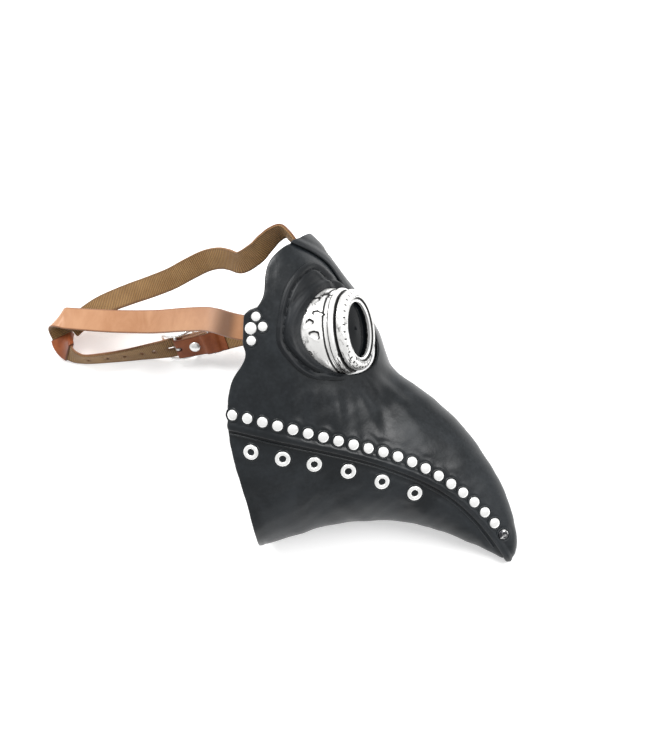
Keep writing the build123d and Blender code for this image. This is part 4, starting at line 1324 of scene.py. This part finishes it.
def strap_frames(stations):
    """Centres, across and outward directions along a strap (x, y, z, across x, y, z, lift)."""
    stations = np.asarray(stations, float)
    centre = stations[:, :3]
    along = np.gradient(centre, axis=0)
    along /= np.linalg.norm(along, axis=1, keepdims=True)
    across = stations[:, 3:6] - along * (stations[:, 3:6] * along).sum(axis=1, keepdims=True)
    across /= np.linalg.norm(across, axis=1, keepdims=True)
    outward = np.cross(across, along)
    return centre + outward * stations[:, 6:7], across, outward


def fold_stations():
    """The long strap's half turn at the far left, wrapped round a slanting fold line."""
    top, fold, out = np.array(FOLD_TOP), np.array(FOLD_LINE), np.array(FOLD_OUT)
    stations = []
    for i in range(1, FOLD_STEPS):
        turn = math.pi * i / FOLD_STEPS
        place = top + fold * (FOLD_ADVANCE * i / FOLD_STEPS) + out * (FOLD_RADIUS * math.sin(turn))
        place[2] -= FOLD_RADIUS * (1 - math.cos(turn))
        across = fold * -0.9 + (out * math.cos(turn) - np.array((0, 0, math.sin(turn)))) * 0.434
        stations.append((*place, *across, 0))
    return stations


def far_stations(lifts):
    """The harness line low on the left side, leaning as it goes, with a lift for each station."""
    stations = []
    for (x, y, z, lean), lift in zip(FAR_LINE, lifts):
        stations.append((x, y, z, 0, math.cos(math.radians(lean)), math.sin(math.radians(lean)), lift))
    return stations


def ribbon(name, frames, low, high, width, holes=(), columns=17):
    """One layer of a strap: a grid across and along its frames, punched and edged."""
    centre, across, outward = frames
    place = np.linspace(-width / 2, width / 2, columns)
    run = lengths(centre)
    points = centre[:, None] + across[:, None] * place[None, :, None]
    normals = np.repeat(outward[:, None], columns, axis=1)
    grid_run = np.repeat(run[:, None], columns, axis=1)
    grid_across = np.repeat(place[None], len(run), axis=0)
    edge = width / 2 - np.abs(grid_across) + 1e-6
    cuts = [edge]
    p = flat(points)
    if holes:
        hole = np.full(len(p), FAR)
        for origin, axis, way, half, radius in holes:
            away = p - origin
            height = away @ axis
            slide = np.clip(away @ way, -half, half)
            away = away - height[:, None] * axis - slide[:, None] * way
            radial = np.linalg.norm(away, axis=1) - radius
            hole = np.minimum(hole, np.where(np.abs(height) < HOLE_REACH, radial, FAR))
        cuts.append(hole)
    marks = {"along": grid_run, "across": grid_across}
    return panel(name, points, normals, np.zeros(points.shape[:2]), cuts, low, high, False, 0.55, marks, 3)


def frame_hole(frames, index, radius):
    """A round hole square through a strap at one of its frames."""
    return frames[0][index], frames[2][index], frames[1][index], 0.0, radius


def frame_place(frames, index, points):
    """Points given along, across and outward of a frame, in the frame's own drawing."""
    centre, across, outward = (part[index] for part in frames)
    along = np.cross(outward, across)
    points = np.atleast_2d(np.asarray(points, float))
    return centre + points[:, :1] * along + points[:, 1:2] * across + points[:, 2:3] * outward


def frame_slot(frames, index, start, end, radius):
    """A slot cut along the strap through one of its frames."""
    centre, across, outward = (part[index] for part in frames)
    along = np.cross(outward, across)
    return centre + along * (start + end) / 2, outward, along, (end - start) / 2, radius


BUCKLE_HOLE, RIVET_HOLE, CHAPE_HOLE = 2.0, 2.2, 1.9     # radii
PRONG_SLOT = (-9.4, -1.0, 1.55)                         # along the strap from and to, and half its width
CHAPE_SLOT = (-2.7, 2.2, 1.8)
route = [*NEAR_STATIONS, *fold_stations(), *TURN_STATIONS, *far_stations(LONG_LIFTS)]
long_frames = strap_frames(smoothed(route, FINE_STEPS))
first_far = (len(NEAR_STATIONS) + FOLD_STEPS - 1 + len(TURN_STATIONS)) * FINE_STEPS
long_holes = [frame_hole(long_frames, first_far + i * FINE_STEPS, BUCKLE_HOLE) for i in range(5)]
long_holes.append(frame_hole(long_frames, FINE_STEPS, RIVET_HOLE))
base_frames = strap_frames(far_stations([0] * len(FAR_LINE)))
long_holes.append(frame_slot(base_frames, BAR_INDEX, *PRONG_SLOT))
top_frames = strap_frames(smoothed(TOP_STATIONS, FINE_STEPS))
top_holes = [frame_hole(top_frames, FINE_STEPS, RIVET_HOLE)]
short_frames = strap_frames(smoothed(far_stations(SHORT_LIFTS)[BAR_INDEX + 1:], FINE_STEPS))
short_holes = [frame_hole(short_frames, len(short_frames[0]) - 1 - FINE_STEPS, RIVET_HOLE),
               frame_hole(base_frames, RIVET_INDEX, CHAPE_HOLE)]
STRAPS = {
    "long": (long_frames, LONG_LAYERS, STRAP_WIDTH, long_holes, "harness"),
    "short": (short_frames, SHORT_LAYERS, STRAP_WIDTH, short_holes, "harness"),
    "top": (top_frames, LONG_LAYERS, TOP_WIDTH, top_holes, None),
}
SLOT_FOR = {"facing": "tan_leather", "webbing": "olive_webbing"}
for strap, (frames, layers, width, holes, body) in STRAPS.items():
    for layer, (low, high) in layers.items():
        band = ribbon(f"{strap}_band_{layer}", frames, low, high, width, holes)
        slot = SLOT_FOR[layer]
        piece = make(band, floor_to_row, LOOKS[slot], body, [f"{strap}_strap_{layer}"])
        if body is None:
            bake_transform(piece)


# ---- the straps' loop and the chape
LOOP_STATIONS = (20.5, 22.5)
LOOP_GAP = 0.3
LOOP_WALL = 1.35
STRAP_HALF = 1.45               # half the long strap's thickness in the CAD part


def rounded_rectangle(length, width, corner, spacing=0.6):
    """Points round a rounded rectangle, with the outward directions in its plane."""
    points, ways = [], []
    a, b = length / 2 - corner, width / 2 - corner
    for k, (cx, cy) in enumerate(((a, b), (-a, b), (-a, -b), (a, -b))):
        for turn in np.linspace(0, math.pi / 2, 9) + k * math.pi / 2:
            way = np.array((math.cos(turn), math.sin(turn)))
            points.append(np.array((cx, cy)) + way * corner)
            ways.append(way)
        nx, ny = ((-a, b), (-a, -b), (a, -b), (a, b))[k]
        gap = math.hypot(nx - cx, ny - cy)
        count = int(gap / spacing)
        for step in range(1, count):
            points.append(points[-1 - (step - 1)] + np.array((nx - cx, ny - cy)) * step / count)
            ways.append(way)
    return np.array(points), np.array(ways)


first, last = (int(round(k * FINE_STEPS)) for k in LOOP_STATIONS)
centre, across, outward = (part[first:last + 1] for part in long_frames)
ring, ways = rounded_rectangle(STRAP_WIDTH + 2 * LOOP_GAP + LOOP_WALL,
                               2 * (STRAP_HALF + LOOP_GAP) + LOOP_WALL, 1.2)
points = centre[:, None] + across[:, None] * ring[None, :, :1] + outward[:, None] * ring[None, :, 1:]
normals = across[:, None] * ways[None, :, :1] + outward[:, None] * ways[None, :, 1:]
run = np.repeat(lengths(centre)[:, None], len(ring), axis=1)
around = np.repeat(lengths(ring)[None], len(centre), axis=0)
band = panel("loop_band", points, normals, np.zeros(run.shape), [np.minimum(run, run.max() - run) + 1e-6],
             -LOOP_WALL / 2, LOOP_WALL / 2, True, 0.6, {"along": around, "across": run})
make(band, floor_to_row, LOOKS["brown_leather"], "harness", ["top_strap_loop"])

CHAPE_SPAN = len(CHAPE_INNER_LIFTS)
BAR_HEIGHT = -1.0
CHAPE_MIDDLE = 1.8
CHAPE_HALF = 0.55
under = far_stations([0] * BAR_INDEX + CHAPE_INNER_LIFTS)[BAR_INDEX:BAR_INDEX + CHAPE_SPAN]
over = far_stations([0.8] * (BAR_INDEX + CHAPE_SPAN))[BAR_INDEX:]
under_centre, under_across, _ = strap_frames(smoothed(under, 4))
over_centre, over_across, _ = strap_frames(smoothed(over, 4))
turn = np.linspace(0, math.pi, 13)[1:-1]
arc = frame_place(base_frames, BAR_INDEX, np.stack([-CHAPE_MIDDLE * np.sin(turn), 0 * turn,
                                                    BAR_HEIGHT - CHAPE_MIDDLE * np.cos(turn)], axis=1))
bar_across = np.repeat(base_frames[1][BAR_INDEX][None], len(arc), axis=0)
chape_line = np.vstack([under_centre[::-1], arc, over_centre])
chape_across = np.vstack([under_across[::-1], bar_across, over_across])
chape_frames = strap_frames(np.hstack([chape_line, chape_across, np.zeros((len(chape_line), 1))]))
chape_holes = [frame_slot(base_frames, BAR_INDEX, *CHAPE_SLOT),
               frame_hole(base_frames, RIVET_INDEX, CHAPE_HOLE)]
chape = ribbon("chape_band", chape_frames, -CHAPE_HALF, CHAPE_HALF, STRAP_WIDTH, chape_holes, 21)
make(chape, floor_to_row, LOOKS["brown_leather"], "harness", ["buckle_chape"])


# ---- the buckle's metal
def tube(name, line, radius, count=14, closed=False):
    """A round wire along a line, with domed ends unless it is closed."""
    line = np.asarray(line, float)
    radii = np.full(len(line), radius) if np.isscalar(radius) else np.asarray(radius, float)
    if closed:
        along = np.roll(line, -1, axis=0) - np.roll(line, 1, axis=0)
    else:
        along = np.gradient(line, axis=0)
        start, end = along[0] / np.linalg.norm(along[0]), along[-1] / np.linalg.norm(along[-1])
        steps = np.sin(np.linspace(0, math.pi / 2, 5))[1:]
        tails = np.cos(np.linspace(0, math.pi / 2, 5))[1:]
        tails[-1] = 0.02
        line = np.vstack([line[0] - start * radii[0] * steps[::-1, None], line,
                          line[-1] + end * radii[-1] * steps[:, None]])
        radii = np.concatenate([radii[0] * tails[::-1], radii, radii[-1] * tails])
        along = np.vstack([np.repeat(start[None], 4, axis=0), along, np.repeat(end[None], 4, axis=0)])
    along /= np.linalg.norm(along, axis=1, keepdims=True)
    across = np.zeros_like(line)
    seed = np.array((0.0, 0.0, 1.0)) if abs(along[0][2]) < 0.8 else np.array((0.0, 1.0, 0.0))
    for i, way in enumerate(along):
        seed = seed - way * (seed @ way)
        seed = seed / np.linalg.norm(seed)
        across[i] = seed
    other = np.cross(along, across)
    angle = np.linspace(0, 2 * math.pi, count, endpoint=False)
    spoke = across[:, None] * np.cos(angle)[None, :, None] + other[:, None] * np.sin(angle)[None, :, None]
    verts = (line[:, None] + spoke * radii[:, None, None]).reshape(-1, 3)
    rows = len(line)
    faces = ring_faces(rows, count, closed, flip=True)
    if not closed:
        faces.append(tuple(range(count)))
        faces.append(tuple((rows - 1) * count + j for j in reversed(range(count))))
    return {"name": name, "verts": verts, "faces": faces}


ARCH_RADIUS = 19.0
ARCH_BOTTOM = 0.6
ARCH_PLACE = 0.5
FRAME_SIZE = (32.0, 29.0)
FRAME_BORDER = 2.6
FRAME_THICK = 2.2
FRAME_PLACE = 1.5
BAR_INSET, BAR_RADIUS = 2.4, 1.1
PRONG_EYE, PRONG_EYE_WIRE = 1.75, 0.6
PRONG_LINE = [(-1.7, 0, 0.6), (-4.5, 0, 3.0), (-7.2, 0, 5.2), (-10, 0, 7.4), (-12.8, 0, 9.7),
              (-15.6, 0, 11.9)]
PRONG_RADII = [0.9, 0.85, 0.8, 0.8, 0.75, 0.7]
KEEPER_SPAN = (-3.95, 6.5)      # its lowest and highest places across the strap's thickness
KEEPER_ROOM = 5.0               # how much wider than the strap it is
KEEPER_WIRE = 1.5
RIVET_SEAT = 3.85               # where the chape's rivet stands, over the harness line


def arch_frame():
    """The buckle's arched frame, as a soft-edged wire bent on its arch."""
    ring, ways = rounded_rectangle(FRAME_SIZE[0] - FRAME_BORDER, FRAME_SIZE[1] - FRAME_BORDER, 4.0, 0.8)
    angle = np.linspace(0, 2 * math.pi, 20, endpoint=False)
    wide = FRAME_BORDER / 2 * np.sign(np.cos(angle)) * np.abs(np.cos(angle)) ** 0.75
    thick = FRAME_THICK / 2 * np.sign(np.sin(angle)) * np.abs(np.sin(angle)) ** 0.75
    flat_place = ring[:, None] + ways[:, None] * wide[None, :, None] + (FRAME_PLACE, 0)
    turn = np.arcsin((flat_place[..., 0] - ARCH_PLACE) / ARCH_RADIUS)
    radius = ARCH_RADIUS - thick[None]
    x = ARCH_PLACE + radius * np.sin(turn)
    z = ARCH_BOTTOM + ARCH_RADIUS - radius * np.cos(turn)
    verts = np.stack([x, flat_place[..., 1], z], axis=2).reshape(-1, 3)
    return {"name": "buckle_wire", "verts": frame_place(base_frames, BAR_INDEX, verts),
            "faces": ring_faces(len(ring), len(angle), flip=True)}


def placed_tube(name, index, line, radius, **options):
    """A wire drawn in the plane of one of the harness line's stations."""
    return tube(name, frame_place(base_frames, index, line), radius, **options)


reach = FRAME_SIZE[1] / 2 - BAR_INSET
bar_line = [(0, y, BAR_HEIGHT) for y in np.linspace(-reach, reach, 9)]
bar = placed_tube("buckle_wire", BAR_INDEX, bar_line, BAR_RADIUS)
make([arch_frame(), bar], floor_to_row, LOOKS["chrome"], "buckle_frame", ["buckle_frame"])

eye_turn = np.linspace(0, 2 * math.pi, 28, endpoint=False)
prong_parts = [placed_tube("prong_wire", BAR_INDEX, PRONG_LINE, PRONG_RADII)]
for shift in (-0.65, 0.65):
    prong_eye = [(PRONG_EYE * math.cos(a), shift, BAR_HEIGHT + PRONG_EYE * math.sin(a)) for a in eye_turn]
    prong_parts.append(placed_tube("prong_wire", BAR_INDEX, prong_eye, PRONG_EYE_WIRE, closed=True))
make(prong_parts, floor_to_row, LOOKS["chrome"], "buckle_prong", ["buckle_prong"])

ring, _ = rounded_rectangle(KEEPER_SPAN[1] - KEEPER_SPAN[0] - KEEPER_WIRE,
                            STRAP_WIDTH + KEEPER_ROOM - KEEPER_WIRE, 1.8, 0.8)
keeper_line = [(0, y, z + sum(KEEPER_SPAN) / 2) for z, y in ring]
keeper = placed_tube("keeper_wire", KEEPER_INDEX, keeper_line, KEEPER_WIRE / 2, closed=True)
make(keeper, floor_to_row, LOOKS["chrome"], "keeper", ["keeper_ring"])

rivet_axis = -base_frames[2][RIVET_INDEX]
rivet_base = base_frames[0][RIVET_INDEX] + rivet_axis * RIVET_SEAT
pin = [(0, -0.3), (PIN_RADIUS, -0.3), (PIN_RADIUS, -4.9), (1.2, -5)]
rivet_parts = [cap_mesh("rivet_chape", dome(*RIVET, 0.4), rivet_base, rivet_axis, 32),
               cap_mesh("rivet_chape", pin, rivet_base, rivet_axis, 12)]
make(rivet_parts, floor_to_row, LOOKS["chrome"], "harness", ["chape_rivet"])

# ---- rubber lips round the studs and eyelets
LIP_PROFILE = [(4.75, -0.9), (6.1, -0.9), (6.3, -0.1), (5.9, 0.45), (5.3, 0.55), (4.85, 0.2)]
lip_shape = refined(rounded(LIP_PROFILE), 0.8)
for side, _ in SIDES:
    seats = [(top - axis * 1.8, axis, 1.0) for top, axis in beak_seats[side]]
    seats += [(top - axis * 1.7, axis, 0.9) for top, axis in temple_seats[side]]
    lips = [lathe("stud_lips_" + side, lip_shape * (size, 0.8), base, axis, 30) for base, axis, size in seats]
    seats = [(top - axis * 1.5, axis) for top, axis in eyelet_seats[side]]
    lips += [lathe("stud_lips_" + side, lip_shape * (1.28, 0.9), base, axis, 36) for base, axis in seats]
    make(lips, to_row, LOOKS["black_rubber"], "mask")

# ---- stitches on the eye patches
def stitches(name, sign):
    """Short raised threads lying in the patch's stitch slots."""
    parts = []
    for dash in DASHES:
        places = [side_place(shell_tree, x, y, sign) for x, y in dash]
        rise = SKIN_GAP + 0.35 + 0.3 * np.sin(np.linspace(0, math.pi, len(dash)))
        thread = [place + normal * height for (place, normal), height in zip(places, rise)]
        parts.append(tube(name, thread, 0.42, 10))
    return parts


for side, sign in SIDES:
    make(stitches("patch_stitches_" + side, sign), to_row, LOOKS["black_leather"], "mask")

# ---- the bead along the jaw's lip
BEAD_DROP = 3.3
BEAD_RADIUS = 0.85
BEAD_RISE = 0.3
BEAD_BACK, BEAD_FRONT = 1.5, 222    # clear of the open back by this much, and no further forward


def bead(sign):
    """A moulded bead on the jaw, parallel to the mouth line."""
    line = MOUTH - line_left(MOUTH) * BEAD_DROP
    places = []
    for x, y in line:
        if region(np.array([(x, y)]), BACK)[0] < BEAD_BACK or x > BEAD_FRONT:
            continue
        place, normal = side_place(jaw_tree, x, y, sign)
        if place is not None:
            places.append(place + normal * BEAD_RISE)
    return tube("jaw_bead", places, BEAD_RADIUS, 12)


make([bead(1), bead(-1)], to_row, LOOKS["black_rubber"], "mask")

# ---- camera, floor and light
VIEW_CENTRE = (79.0, 159.0)     # where the camera looks in the mask's side view
VIEW_DISTANCE = 1200.0
VIEW_HEIGHT = 637.5             # what a frame covers at the mask's middle plane
SENSOR = 36.0
FLOOR_REACH = 6.0
FLOOR_GLOW = 0.35               # keeps the floor as white as the photograph's background
SKY_STRENGTH = 0.62


def set_camera():
    """A camera straight above the mask's own side view."""
    data = bpy.data.cameras.new("camera")
    data.sensor_width = SENSOR
    data.lens = SENSOR * VIEW_DISTANCE / VIEW_HEIGHT
    camera = bpy.data.objects.new("camera", data)
    bpy.context.scene.collection.objects.link(camera)
    place = to_row([(*VIEW_CENTRE, VIEW_DISTANCE)])[0]
    turn = Matrix((AXES[:, 0], AXES[:, 1], AXES[:, 2])).transposed().to_4x4()
    camera.matrix_world = Matrix.Translation(place) @ turn
    bpy.context.scene.camera = camera


def area_light(name, place, aim, size, power):
    """A soft rectangular light."""
    data = bpy.data.lights.new(name, "AREA")
    data.shape = "RECTANGLE"
    data.size, data.size_y = size
    data.energy = power
    lamp = bpy.data.objects.new(name, data)
    bpy.context.scene.collection.objects.link(lamp)
    lamp.location = place
    lamp.rotation_euler = (Vector(aim) - Vector(place)).to_track_quat("-Z", "Y").to_euler()


def set_stage():
    """A plain pale floor, an even pale sky and soft studio lamps."""
    mesh = bpy.data.meshes.new("floor")
    corners = [(x * FLOOR_REACH, y * FLOOR_REACH, 0) for x, y in ((-1, -1), (1, -1), (1, 1), (-1, 1))]
    mesh.from_pydata(corners, [], [(0, 1, 2, 3)])
    floor = bpy.data.objects.new("floor", mesh)
    bpy.context.scene.collection.objects.link(floor)
    look = Look("floor_pale", (0.9, 0.9, 0.9), 0.9, Specular_IOR_Level=0.1, Emission_Strength=FLOOR_GLOW)
    look.set(look.shader, "Emission Color", (1, 1, 1, 1))
    mesh.materials.append(look.material)
    world = bpy.data.worlds.new("studio")
    world.use_nodes = True
    sky = world.node_tree.nodes["Background"].inputs
    sky["Color"].default_value = (1, 1, 1, 1)
    sky["Strength"].default_value = SKY_STRENGTH
    bpy.context.scene.world = world
    area_light("key", (-0.55, 1.0, 1.35), (0.02, 0.02, 0.05), (1.0, 0.8), 31)
    area_light("fill", (1.0, 0.1, 1.3), (0.05, 0, 0.05), (0.7, 0.7), 13)


set_camera()
set_stage()
bpy.context.scene.view_settings.view_transform = "Standard"
